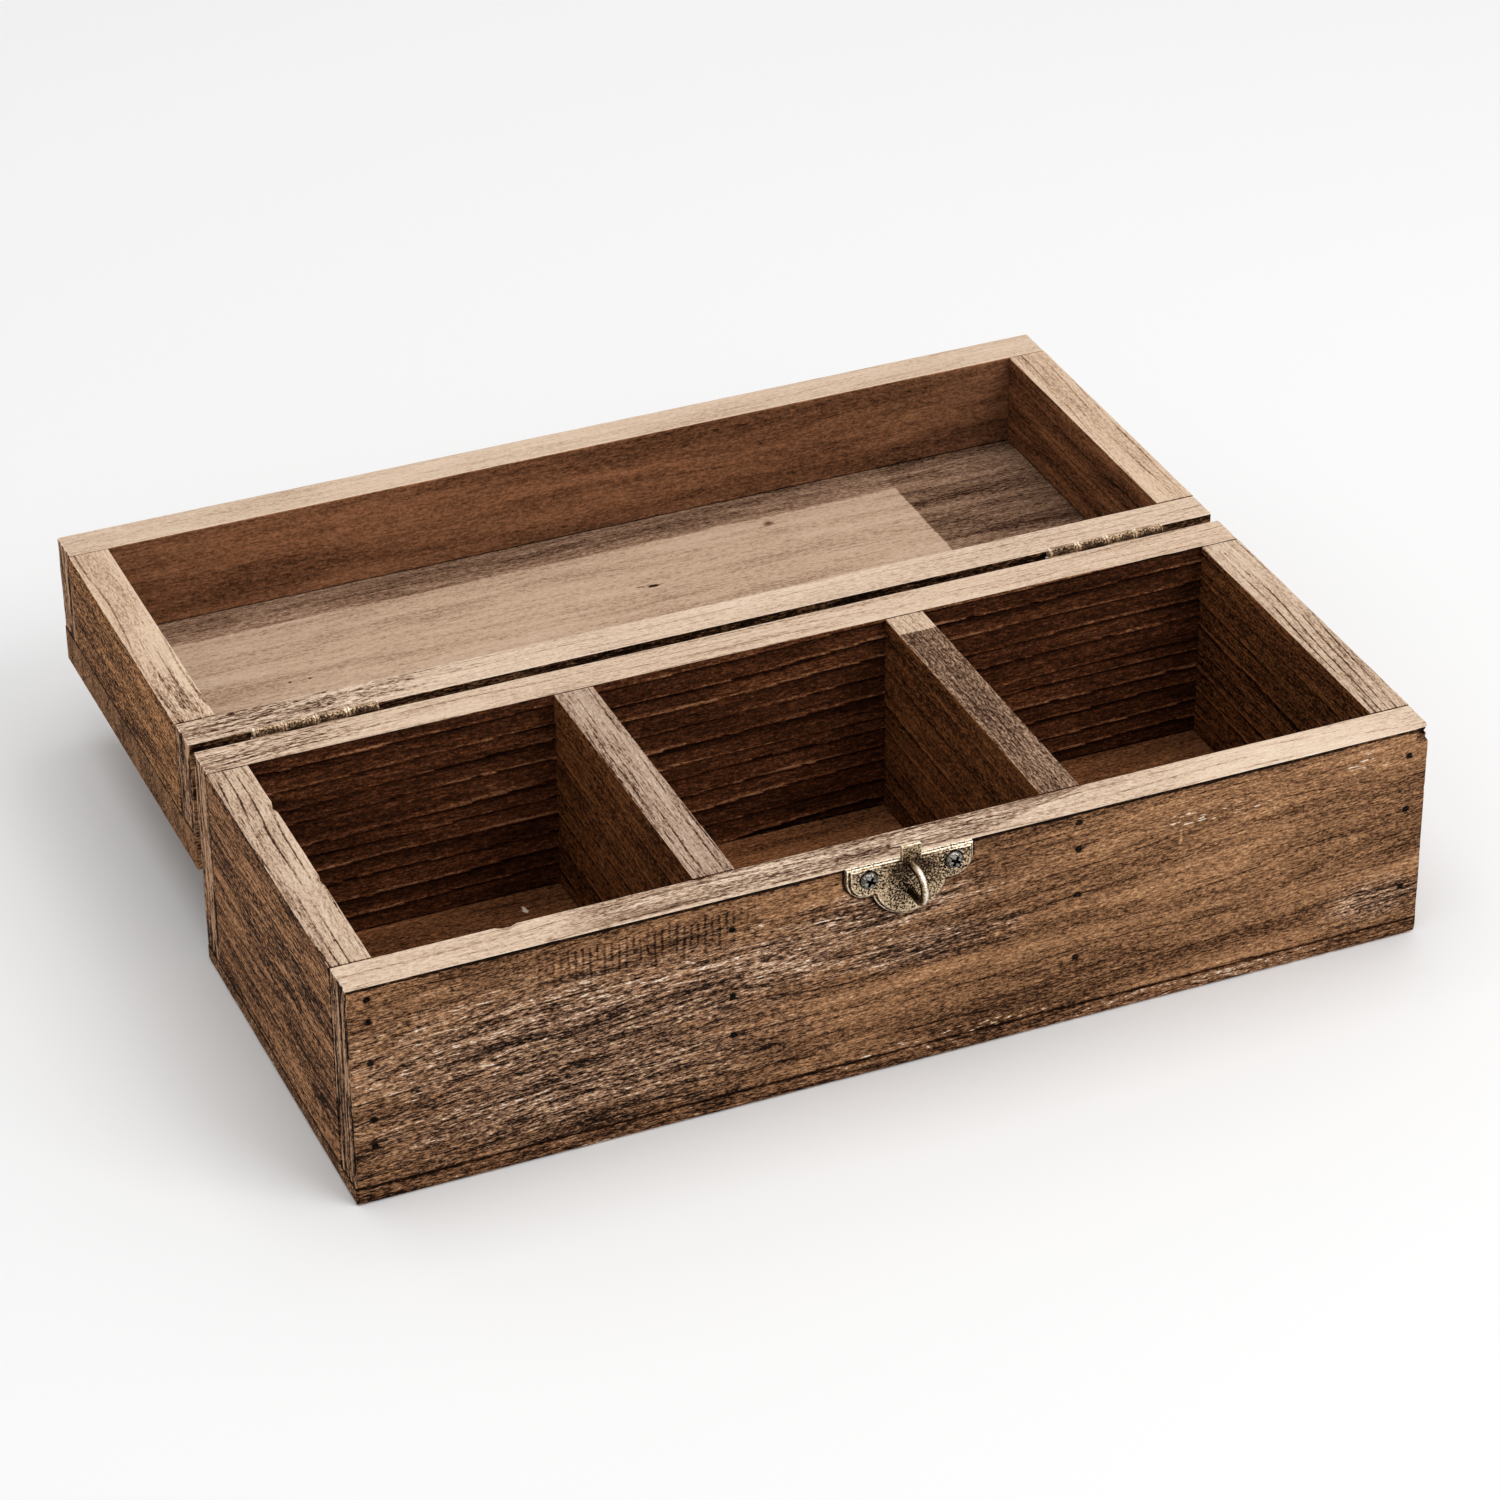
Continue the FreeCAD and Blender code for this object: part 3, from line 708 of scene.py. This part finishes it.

# Lid boards
# The same butted frame, lower, laid open behind the base; the far board is smooth and even inside.
# The rims are bare; the near rim carries dark streaks at its left end.
# Painted shade on the lid's face beside the gap behind the hinges, near its rim
lid_gap_painted_shade = patch((0, 63.1, 66), (600, 3, 7), -0.3)
lid_long_face = timber("lid_long_stain", "x", stained_tones(122, 86, 59), marks=(lid_gap_painted_shade,))
lid_inside = timber("lid_long_inside", "x", stained_tones(126, 85, 59), bands=0.2, streaks=0.06, lines=0.08,
                    fibre=0.22, pores=0.05, grit=0.15, bump=0.2)
far_rim = timber("lid_far_rim", "x", bare_tones(217, 190, 165), bands=0.12, streaks=0.1, lines=0.08,
                 fibre=0.2, pores=0.04, grit=0.08, bump=0.2)
near_rim = timber("lid_near_rim", "x", bare_tones(224, 197, 172), bands=0.12, streaks=0.08, lines=0.16,
                  rings=0.3, fibre=0.26, pores=0.08, grit=0.08,
                  rough=(((-120, 68.8, rim_z), (44, 9, 9)),), gain=0.5, crumple=0.08,
                  marks=(patch((-122, 68.8, rim_z), (46, 9, 9), -0.22),), bump=0.3)
lid_cross_face = timber("lid_cross_stain", "y", stained_tones(130, 88, 56), bands=0.25, streaks=0.35,
                        lines=0.25, rings=0.2, fibre=0.9, grit=0.4)
lid_cross_inside = timber("lid_cross_inside", "y", stained_tones(112, 72, 46), lines=0.2, fibre=0.4)
lid_cross_rim = timber("lid_cross_rim", "y", bare_tones(220, 190, 162), bands=0.2, streaks=0.1,
                       lines=0.25, rings=0.35, fibre=0.28, pores=0.12, grit=0.1,
                       rough=(((-144, 84, rim_z), (14, 22, 9)),), gain=0.2, crumple=0.1,
                       marks=(patch((-144, 84, rim_z), (14, 18, 9), -0.1),), bump=0.3)
board("lid_front_board", "lid", "stained_boards", (210, 26, 44),
      {"plain": planed(long_grain), **rippled_ends}, long_edges + back_uprights,
      {"plain": lid_long_face, "-y": lid_inside, "+z": far_rim, **stained_ends},
      (("lid_wall_brads",), "+y"))
board("lid_back_board", "lid", "stained_boards", (210, 26, 44),
      {"plain": planed(long_grain), **rippled_ends}, long_edges + front_uprights,
      {"plain": lid_long_face, "+y": lid_inside, "+z": near_rim, **stained_ends},
      (("lid_wall_brads",), "-y"))
for node, inside in (("lid_left_board", "+x"), ("lid_right_board", "-x")):
    board(node, "lid", "stained_boards", (14, 90, 38), {"plain": planed(cross_grain)}, cross_edges,
          {"plain": lid_cross_face, inside: lid_cross_inside, "+z": lid_cross_rim})

# Lid top board
# One thick board laid over the lid's walls, rounded over along its outer edge and nailed down into them.
# Its inside stayed bare under a mask when it was stained: a brown strip runs along the far and right edges.


def overspray(spot, wobble, tone):
    """Brown strip along the tray's far wall and across its right end."""
    x, y, _ = spot.axes()
    strip = y.plus(wobble, 2.0).between(158.0, 159.4)
    end = x.plus(wobble, 1.2).between(96.2, 97.0)
    return tone.plus(strip * (1.0 - end), -0.26).plus(end, -0.32)


tray_z = span("lid_top_board", "z")[1]
tray_marks = [overspray]
for x, y, wide, long, amount in ((6.0, 135.0, 1.8, 0.6, -0.35), (9.6, 134.4, 2.0, 0.9, -0.7),
                                 (-102, 126.5, 0.8, 0.7, -0.5), (-96.2, 126.3, 0.8, 0.7, -0.5),
                                 (53.6, 154.1, 2.4, 1.6, -0.4), (55.5, 142.4, 3.0, 1.4, -0.15)):
    tray_marks.append(patch((x, y, tray_z), (wide, long, 9), amount))
tray_floor = timber("lid_tray_floor", "x", bare_tones(200, 169, 143), bands=0.2, streaks=0.12, lines=0.08,
                    fibre=0.28, pores=0.05, grit=0.12, marks=tray_marks, bump=0.2)
lid_top = timber("lid_top_stain", "x", stained_tones(122, 86, 59))
board("lid_top_board", "lid", "stained_boards", (190, 96, 16), {"plain": planed(long_grain)}, sole_edges,
      {"plain": lid_top, "+z": tray_floor}, (("lid_top_brads",), "-z"))

# Brads
# Thin headless steel brads, driven through the boards and gone black with age; each sits in a small dark pit.
# They hold the walls, the dividers, the bottom panel and the lid's top board.


def tarnish():
    """Blotches, specks and fine scratches of old metal, from a place in millimetres."""
    tree, (place,) = group_of("tarnish", {"Place": "NodeSocketVector"})
    return put_out(tree, {"Blotch": place.clouds((5.5, 5.5, 5.5), 4.0, 0.6).between(0.3, 0.7),
                          "Specks": place.clouds((0.55, 0.55, 0.55), 1.0, 0.7).between(0.3, 0.7),
                          "Scratches": place.clouds((7.0, 0.3, 0.5), 1.0).between(0.6, 0.75)})


tarnish_group = tarnish()


def metal(name, tones, blotch, specks, gloss, marks=()):
    """Old metal: tarnish and the piece's relief (the wear of its edges; on the staple, painted highlight and
    shade) set one tone, which a colour ramp turns to metal.
    """
    material, shader, spot, relief = started(name)
    shader["Metallic"].default_value = 1.0
    figure = spot.placed(tarnish_group, {"Place": spot})
    relief_weight = 0.4
    tone = (figure["Blotch"] - 0.5) * blotch + 0.5
    tone = tone.plus(figure["Specks"] - 0.5, specks).plus(figure["Scratches"], 0.12)
    tone = tone.plus(relief, relief_weight)
    for mark in marks:
        tone = mark(spot, figure["Specks"], tone)
    tone.ramped(tones).feeds(shader["Base Color"])
    figure["Specks"].ranged(gloss[1], gloss[0]).feeds(shader["Roughness"])
    grain = {"Strength": 0.3, "Distance": 0.1 * mm, "Height": figure["Specks"]}
    spot.through("ShaderNodeBump", grain).feeds(shader["Normal"])
    return material


def coated(material, *nodes):
    """Finish for the frame's pieces that keep their own shape."""
    for node in nodes:
        for place in frame["nodes"][node].material_slots:
            place.material = material


black_tones = [(0.1, (6, 5, 4)), (0.5, (17, 14, 12)), (0.8, (46, 38, 31)), (0.95, (120, 104, 88))]
black_steel = metal("black_steel", black_tones, 0.3, 0.5, (0.45, 0.75))
coated(black_steel, "base_wall_brads", "divider_brads", "bottom_brads", "lid_wall_brads", "lid_top_brads")

# Latch plate
# Brass stamping with two ears and a round belly: its field stands proud of a border with rounded edges.
# A tab rises from the field past the rim; the brass is speckled brown, and bright where it wears.


def swung(bm, start, middle, angle):
    """Points that a point leaves as it swings about a middle, in a plane parallel to the front face."""
    known = set(bm.verts)
    bmesh.ops.spin(bm, geom=[start], cent=middle, axis=(0, 1, 0), angle=math.radians(angle), steps=24,
                   use_duplicate=False)
    fresh = set(bm.verts) - known
    path = []
    here = start
    while fresh:
        here = next(edge.other_vert(here) for edge in here.link_edges if edge.other_vert(here) in fresh)
        fresh.remove(here)
        path.append(here)
    return path


def closed_line(bm, y, path):
    """Closed line parallel to the front face; a step is a point (x, z) or an arc (x, z, x, z, angle)."""
    line = []
    for x, z, *arc in path:
        line.append(bm.verts.new(Vector((x, y, z)) * mm))
        if arc:
            line += swung(bm, line[-1], Vector((arc[0], y, arc[1])) * mm, arc[2])
    edges = []
    for pair in zip(line, line[1:] + line[:1]):
        edges.append(bm.edges.get(pair) or bm.edges.new(pair))
    return edges


def rounded(bm, edges, reach, segments=3):
    """Round some edges over."""
    bmesh.ops.bevel(bm, geom=edges, offset=reach * mm, offset_type="OFFSET", segments=segments, profile=0.5,
                    affect="EDGES", material=-1, clamp_overlap=False)


def sheet(bm, front, back, soft, *lines):
    """Sheet of metal between two depths, with a closed outline and any holes, rounded at the front."""
    known = set(bm.faces)
    edges = [edge for line in lines for edge in closed_line(bm, front, line)]
    bmesh.ops.triangle_fill(bm, use_beauty=True, use_dissolve=False, edges=edges)
    filled = [face for face in bm.faces if face not in known]
    grown = bmesh.ops.extrude_face_region(bm, geom=filled)["geom"]
    verts = [item for item in grown if isinstance(item, bmesh.types.BMVert)]
    bmesh.ops.translate(bm, verts=verts, vec=(0, (back - front) * mm, 0))
    deep = {edge for vert in verts for edge in vert.link_edges
            if edge.other_vert(vert).co.y < vert.co.y - 0.1 * mm}
    bmesh.ops.subdivide_edges(bm, edges=list(deep), cuts=2, use_grid_fill=True)
    rounded(bm, edges, soft)
    flat = [face for face in bm.faces if face not in known
            and all(abs(vert.co.y - front * mm) < 0.001 * mm for vert in face.verts)]
    bmesh.ops.inset_region(bm, faces=flat, thickness=0.2 * mm, use_even_offset=True)


def eared(edge_z, toward, inset, straight):
    """Outline of a plate: points along its straight edge, then an ear, the belly and the other ear."""
    half = plate_half - inset
    corner = ear_radius - inset
    belly = belly_radius - inset
    ear_end = edge_z + toward * (ear_height - inset)
    middle = edge_z + toward * belly_drop
    sunk = abs(ear_end - middle)
    shoulder = math.sqrt(belly ** 2 - sunk ** 2)
    sweep = 180 - 2 * math.degrees(math.asin(sunk / belly))
    ear_middle = ear_end - toward * corner
    straight_z = edge_z + toward * inset / 2
    return [(-half, straight_z), *straight, (half, straight_z),
            (half, ear_middle, half - corner, ear_middle, -toward * 90),
            (shoulder, ear_end, 0, middle, -toward * sweep),
            (corner - half, ear_end, corner - half, ear_middle, -toward * 90)]


def edge_wear(bm, dark_y=None):
    """Keep how far each point stands out or lies back, for a finish that is brighter or darker there.

    Points that lie flat at the depth dark_y are dark all over."""
    bmesh.ops.remove_doubles(bm, verts=bm.verts[:], dist=0.002 * mm)
    bmesh.ops.recalc_face_normals(bm, faces=bm.faces[:])
    tone = bm.verts.layers.float.new("relief")
    full_turn = 1.6
    for vert in bm.verts:
        turn = sum(edge.calc_face_angle_signed(0.0) for edge in vert.link_edges if edge.is_manifold)
        vert[tone] = max(-1.0, min(1.0, turn / full_turn))
        if dark_y and abs(vert.co.y - dark_y * mm) < 0.01 * mm:
            vert[tone] = -1.0


def fitting(name, bm, body, slot, material, *nodes):
    """Finish a metal piece, with the wear of its edges where it has none yet."""
    if "relief" not in bm.verts.layers.float:
        edge_wear(bm)
    finished(name, bm, body, slot, [material], *nodes)


brass_tones = [(0.05, (28, 20, 14)), (0.28, (98, 78, 56)), (0.5, (184, 160, 129)), (0.7, (218, 196, 164)),
               (0.95, (250, 240, 222))]
old_brass = metal("old_brass", brass_tones, 0.3, 0.6, (0.4, 0.65))
field_y = span("latch_plate", "y")[0]
border_y, field_back_y = -60.8, -60.5
border, screw_hole = 0.9, 2.6
screw_xs = (-11.75, 11.75)
screw_drop = 3.5
screw_z = rim_z - screw_drop
# A painted shadow of the staple on the plate left of it, a faint darker blotch on the right, and a painted
# shadow ring around each screw head
plate_blotches_and_painted_shadows = [patch((-1.8, field_y, 57.6), (3.6, 4, 5.6), -0.34), patch((8, field_y, 59), (9, 4, 7), -0.1)]
plate_blotches_and_painted_shadows += [patch((x, field_y, screw_z), (3.5, 4, 3.5), -0.3) for x in screw_xs]
plate_brass = metal("plate_brass", brass_tones, 0.15, 0.42, (0.4, 0.65), marks=plate_blotches_and_painted_shadows)
bm = bmesh.new()
sheet(bm, border_y, front_y, 0.5, eared(rim_z, -1, 0.0, []))
tab = [(-2.8, 64.55), (-2.8, 68.4, -2.2, 68.4, 90), (2.2, 69, 2.2, 68.4, 90), (2.8, 64.55)]
screw_rings = [[(x + screw_hole, screw_z, x, screw_z, 345)] for x in screw_xs]
sheet(bm, field_y, field_back_y, 0.2, eared(rim_z, -1, border, tab), *screw_rings)
edge_wear(bm, border_y)
fitting("latch_plate_stamping", bm, "base", "latch_brass", plate_brass, "latch_plate")

# Latch staple
# A brass wire bent to a U that stands out from the plate, one leg above the other, riveted at both ends.
# The flap drops over it; a painted highlight lies on the outside of the bend and painted shade on its sides
# and hollow.


def pulled(bm, ring, shift):
    """Draw a ring of edges out by a shift; gives the ring at its end."""
    grown = bmesh.ops.extrude_edge_only(bm, edges=ring)["geom"]
    verts = {item for item in grown if isinstance(item, bmesh.types.BMVert)}
    bmesh.ops.translate(bm, verts=list(verts), vec=Vector(shift) * mm)
    return list({edge for vert in verts for edge in vert.link_edges if edge.other_vert(vert) in verts})


wire_radius, bend_radius, leg_length = 1.1, 4.1, 6.0
bend_y, bend_z = front_y - leg_length, rim_z - belly_drop
bm = bmesh.new()
leg_place = Vector((0, front_y, bend_z + bend_radius)) * mm
leg_start = Matrix.Translation(leg_place) @ Matrix.Rotation(math.pi / 2, 4, "X")
bmesh.ops.create_circle(bm, segments=20, radius=wire_radius * mm, matrix=leg_start)
ring = pulled(bm, bm.edges[:], (0, -leg_length, 0))
ring_verts = list({vert for edge in ring for vert in edge.verts})
bend = bmesh.ops.spin(bm, geom=ring + ring_verts, cent=Vector((0, bend_y, bend_z)) * mm, axis=(1, 0, 0),
                      angle=math.pi, steps=24, use_duplicate=False)
pulled(bm, [item for item in bend["geom_last"] if isinstance(item, bmesh.types.BMEdge)], (0, leg_length, 0))
bmesh.ops.holes_fill(bm, edges=bm.edges[:])
bmesh.ops.recalc_face_normals(bm, faces=bm.faces[:])
bm.normal_update()
# Painted highlight on the outside of the bend and painted shade on the flanks and in the hollow, kept in the
# relief attribute
tone = bm.verts.layers.float.new("relief")
for vert in bm.verts:
    x, y, z = vert.co / mm
    outward = (math.hypot(min(0.0, y - bend_y), z - bend_z) - bend_radius) / wire_radius
    vert[tone] = max(-1.0, min(1.0, 0.7 * outward - 0.9 * abs(vert.normal.x)))
wire_tones = [(0.05, (22, 15, 10)), (0.3, (74, 55, 38)), (0.5, (164, 138, 104)), (0.75, (250, 244, 230))]
bright_wire = metal("bright_wire", wire_tones, 0.2, 0.2, (0.2, 0.35))
fitting("latch_staple_wire", bm, "base", "latch_brass", bright_wire, "latch_staple")

# Latch screws
# Two crowned screws of dulled grey steel, turned and then punched with a cross for the driver.
# They are driven through the plate's ears into the front board.


def turned(bm, place, facing, profile, steps=32, tube=False):
    """Turned form: a profile of points (radius, height) swung about an axis that stands on a place."""
    across = facing.orthogonal().normalized()
    spots = [bm.verts.new((place + across * radius + facing * height) * mm) for radius, height in profile]
    lines = [bm.edges.new(pair) for pair in zip(spots, spots[1:])]
    if tube:
        lines.append(bm.edges.new((spots[-1], spots[0])))
    bmesh.ops.spin(bm, geom=spots + lines, cent=place * mm, axis=facing, angle=2 * math.pi, steps=steps,
                   use_merge=True, use_duplicate=False)


def cross_head(bm, place, facing, profile, half_length, half_width, deep):
    """Turned screw whose last ring closes on a punched cross."""
    known = set(bm.edges)
    turned(bm, place, facing, profile, 48)
    top = profile[-1][1]
    rim = [edge for edge in bm.edges if edge not in known and edge.is_boundary
           and all(abs((vert.co / mm - place).dot(facing) - top) < 0.001 for vert in edge.verts)]
    across = facing.orthogonal().normalized()
    cross = []
    for quarter in range(4):
        turn = Matrix.Rotation(-quarter * math.pi / 2 + 0.3, 3, facing)
        for u, v in ((half_width, half_length), (half_width, half_width), (half_length, half_width)):
            spot = turn @ (across * u + facing.cross(across) * v)
            cross.append(bm.verts.new((place + spot + facing * (top + 0.05)) * mm))
    lines = [bm.edges.new(pair) for pair in zip(cross, cross[1:] + cross[:1])]
    cut = bmesh.ops.subdivide_edges(bm, edges=lines, cuts=3)["geom_split"]
    lines = [item for item in cut if isinstance(item, bmesh.types.BMEdge)]
    bmesh.ops.bridge_loops(bm, edges=rim + lines)
    floor_ring = pulled(bm, lines, -facing * deep)
    bmesh.ops.edgeloop_fill(bm, edges=floor_ring)


out_front = Vector((0, -1, 0))
round_head = [(0.05, -10.0), (1.1, -2.5), (1.1, -0.7), (2.25, -0.7), (2.3, 0.35), (2.15, 0.75), (1.85, 1.05),
              (1.6, 1.2)]
round_cross = (1.45, 0.45, 0.8)
bm = bmesh.new()
for x in screw_xs:
    cross_head(bm, Vector((x, field_y, screw_z)), out_front, round_head, *round_cross)
steel_tones = [(0.08, (8, 7, 6)), (0.35, (36, 32, 28)), (0.55, (62, 58, 52)), (0.95, (158, 153, 145))]
grey_steel = metal("grey_steel", steel_tones, 0.3, 0.5, (0.3, 0.5))
fitting("latch_screw_heads", bm, "base", "latch_brass", grey_steel, "latch_screws")

# Butt hinges
# Two brass hinges on the back faces: thin leaves rolled into knuckles that turn on a pin, two in each leaf.
# The screws lie flush in the leaves; the lid's leaf is the base's one turned over the pin.


def knuckle_gap_painted_shade(spot, wobble, tone):
    """Painted shade on the side of the knuckles that faces the gap behind the base."""
    _, y, z = spot.axes()
    gap_shade = y.plus(wobble, 0.5).fading(60.2, 61.3) * z.between(63.2, 63.8)
    return tone.plus(gap_shade, -0.3)


pale_tones = [(0.08, (24, 17, 12)), (0.32, (74, 56, 42)), (0.5, (142, 117, 92)), (0.7, (188, 160, 130)),
              (0.95, (250, 240, 222))]
# The knuckles carry painted shade on their side towards the gap
pale_brass = metal("pale_brass", pale_tones, 0.2, 0.25, (0.5, 0.7), marks=(knuckle_gap_painted_shade,))
lid_hinge = next(hinge for hinge in frame["joints"] if hinge["name"] == "lid_hinge")
pin_y, pin_z = [value / mm for value in lid_hinge["pos_m"][1:]]


def laid_open(bm):
    """Swing a piece drawn on the shut lid open about the hinge pins."""
    bmesh.ops.rotate(bm, verts=bm.verts[:], cent=lid_hinge["pos_m"], matrix=Matrix.Rotation(math.pi, 3, "X"))


def bar(bm, low, high, soft):
    """Flat bar between two corners, rounded; a margin on its broad faces keeps the wear to the edges."""
    known = set(bm.faces)
    low, high = Vector(low) * mm, Vector(high) * mm
    size = Matrix.Diagonal((*(high - low), 1))
    made = bmesh.ops.create_cube(bm, size=1.0, matrix=Matrix.Translation((low + high) / 2) @ size)["verts"]
    rounded(bm, list({edge for vert in made for edge in vert.link_edges}), soft, 2)
    broad_area, margin = 30 * mm * mm, 0.3 * mm
    broad = [face for face in bm.faces if face not in known and face.calc_area() > broad_area]
    bmesh.ops.inset_individual(bm, faces=broad, thickness=margin, use_even_offset=True)


def knuckle(bm, place, length, inner, outer):
    """Rolled knuckle along the box; rings close to its ends keep the wear of the edges there."""
    soft, ring = 0.2, 0.7
    profile = [(inner, 0), (outer - soft, 0), (outer, soft), (outer, ring), (outer, length - ring),
               (outer, length - soft), (outer - soft, length), (inner, length)]
    turned(bm, Vector(place), Vector((1, 0, 0)), profile, tube=True)


back_y = span("base_back_board", "y")[1]
hinge_ends = span("left_hinge_base_leaf", "x")
hinge_length = hinge_ends[1] - hinge_ends[0]
knuckle_count, knuckle_gap = 4, 0.15
knuckle_pitch = hinge_length / knuckle_count
knuckle_length = knuckle_pitch - 2 * knuckle_gap
pin_bore, knuckle_radius = 0.8, 1.55
leaf_start, leaf_end, leaf_thick = 1.85, 11.5, 0.7


def hinge_leaf(start, side):
    """Leaf with every second knuckle, below the pin or above it, and a tongue into each knuckle."""
    bm = bmesh.new()
    low, high = sorted((pin_z + side * leaf_start, pin_z + side * leaf_end))
    bar(bm, (start, back_y, low), (start + hinge_length, back_y + leaf_thick, high), 0.15)
    proud, overlap = 0.05, 0.4
    low, high = sorted((pin_z + side * 0.25, pin_z + side * leaf_start + side * overlap))
    for index in range(0 if side < 0 else 1, knuckle_count, 2):
        left = start + index * knuckle_pitch + knuckle_gap
        bar(bm, (left, back_y + proud, low), (left + knuckle_length, back_y + proud + leaf_thick, high), 0.1)
        knuckle(bm, (left, pin_y, pin_z), knuckle_length, pin_bore, knuckle_radius)
    return bm


flush_head = [(0.05, -8.5), (0.9, -2.0), (0.9, -0.8), (1.8, -0.06), (1.75, -0.02), (1.6, -0.06)]
flush_cross = (1.05, 0.28, 0.4)


def hinge_screws(side):
    """The four screws of both hinges' leaves, below the pin or above it."""
    bm = bmesh.new()
    for x in (-126.5, -104.5, 104.5, 126.5):
        place = Vector((x, back_y + 0.8, pin_z + side * 6.5))
        cross_head(bm, place, Vector((0, 1, 0)), flush_head, *flush_cross)
    return bm


for name in ("left", "right"):
    start = span(name + "_hinge_base_leaf", "x")[0]
    fitting(name + "_hinge_base_brass", hinge_leaf(start, -1), "base", "hinge_brass", pale_brass,
            name + "_hinge_base_leaf")
    bm = hinge_leaf(start, 1)
    laid_open(bm)
    fitting(name + "_hinge_lid_brass", bm, "lid", "hinge_brass", pale_brass, name + "_hinge_lid_leaf")
coated(pale_brass, "left_hinge_pin", "right_hinge_pin")
fitting("hinge_base_screw_heads", hinge_screws(-1), "base", "hinge_brass", pale_brass, "hinge_base_screws")
bm = hinge_screws(1)
laid_open(bm)
fitting("hinge_lid_screw_heads", bm, "lid", "hinge_brass", pale_brass, "hinge_lid_screws")

# Hasp plate
# The latch plate's twin on the lid's front, the other way up; its straight edge curls into two knuckles.
# It is drawn on the shut lid and swung open with it; two screws hold it.
hasp_y, hasp_z = -62.5, 71.8
hasp_screw_z = hasp_z + screw_drop


def notched(start_z):
    """Notch in the plate's straight edge for the flap's knuckle."""
    half, top = 4.8, hasp_z + 2
    return [(-half, start_z), (-half, top), (half, top), (half, start_z)]


bm = bmesh.new()
sheet(bm, border_y, front_y, 0.4, eared(hasp_z, 1, 0.0, notched(hasp_z)))
screw_rings = [[(x + screw_hole, hasp_screw_z, x, hasp_screw_z, 345)] for x in screw_xs]
sheet(bm, field_y, field_back_y, 0.2, eared(hasp_z, 1, border, notched(hasp_z + border / 2)), *screw_rings)
hasp_knuckle_radius = 1.7
for start in (-8.5, 4.8):
    knuckle(bm, (start, hasp_y, hasp_z), 3.7, 0.78, hasp_knuckle_radius)
edge_wear(bm, border_y)
laid_open(bm)
fitting("hasp_plate_stamping", bm, "lid", "latch_brass", old_brass, "hasp_plate")
bm = bmesh.new()
for x in screw_xs:
    cross_head(bm, Vector((x, field_y, hasp_screw_z)), out_front, round_head, *round_cross)
laid_open(bm)
fitting("hasp_screw_heads", bm, "lid", "latch_brass", grey_steel, "hasp_screws")
coated(old_brass, "hasp_pin")

# Hasp flap
# Slotted brass flap that turns on the hasp's pin: a knuckle, a narrow neck, shoulders and a round end.
# It is drawn latched, folded back over its plate and swung open with the lid, which together only shift it.
bm = bmesh.new()
neck, half, shoulder_z, end_z = 4.5, 7.5, 69.8, 54.5
flap_outline = [(-neck, hasp_z), (neck, hasp_z), (neck, shoulder_z), (6.0, shoulder_z, 6.0, 68.3, 90),
                (half, end_z, 0, end_z, 180), (-half, 68.3, -6.0, 68.3, 90), (-neck, shoulder_z)]
flap_slot = [(1.7, 54.7, 0, 54.7, 180), (-1.7, 63.3, 0, 63.3, 180)]
sheet(bm, -63.1, -61.9, 0.3, flap_outline, flap_slot)
knuckle(bm, (-neck, hasp_y, hasp_z), 2 * neck, 0.83, hasp_knuckle_radius)
bmesh.ops.translate(bm, verts=bm.verts[:], vec=Vector((0, 2 * (pin_y - hasp_y), 2 * (pin_z - hasp_z))) * mm)
fitting("hasp_flap_brass", bm, "flap", "latch_brass", old_brass, "hasp_flap")

# Camera, light and floor
# A long lens looks down on the box from its front left; the light is even and white, with a soft key from the
# front right and a soft lamp overhead. The floor is a plain sheet of white paper that keeps the shadow.
camera = bpy.data.objects.new("camera", bpy.data.cameras.new("camera"))
bpy.context.scene.collection.objects.link(camera)
camera.data.sensor_width = 36.0
camera.data.lens = 121.825
right = Vector((0.919143, -0.393834, -0.008466))
up = Vector((0.216611, 0.487352, 0.845912))
eye = (-0.45034, -1.02459, 0.76720)
camera.matrix_world = Matrix.Translation(eye) @ Matrix((right, up, right.cross(up))).transposed().to_4x4()
bpy.context.scene.camera = camera
bpy.context.scene.view_settings.view_transform = "Standard"

world = bpy.data.worlds.new("studio")
bpy.context.scene.world = world
world.use_nodes = True
sky = world.node_tree
sky.nodes.clear()
paths = sky.nodes.new("ShaderNodeLightPath").outputs
seen = Wire(paths["Is Camera Ray"])
for ray in ("Is Glossy Ray", "Is Transmission Ray"):
    seen = seen.or_more(Wire(paths[ray]))
light_level, seen_level = 0.55, 1.0
level = seen.ranged(light_level, seen_level)
backdrop = level.through("ShaderNodeBackground", {"Color": (1, 1, 1, 1), "Strength": level})
lay(sky, "ShaderNodeOutputWorld", {"Surface": backdrop})

box_middle = Vector((0, 0.05, 0.03))
for name, place, size, power in (("key", (0.9, -1.3, 1.5), 1.2, 15.0), ("top", (0.0, 0.1, 1.9), 1.6, 12.0)):
    lamp = bpy.data.lights.new(name, "AREA")
    lamp.size = size
    lamp.energy = power
    light = bpy.data.objects.new(name, lamp)
    bpy.context.scene.collection.objects.link(light)
    aim = box_middle - Vector(place)
    light.matrix_world = Matrix.Translation(place) @ aim.to_track_quat("-Z", "Y").to_matrix().to_4x4()

bm = bmesh.new()
floor_half = 4.0
bmesh.ops.create_grid(bm, x_segments=1, y_segments=1, size=floor_half)
ground = bpy.data.meshes.new("floor")
bm.to_mesh(ground)
bm.free()
floor = bpy.data.objects.new("floor", ground)
bpy.context.scene.collection.objects.link(floor)
paper = bpy.data.materials.new("white_paper")
paper.use_nodes = True
paper_shader = paper.node_tree.nodes["Principled BSDF"].inputs
paper_shader["Base Color"].default_value = (0.96, 0.96, 0.96, 1)
paper_shader["Roughness"].default_value = 0.9
ground.materials.append(paper)
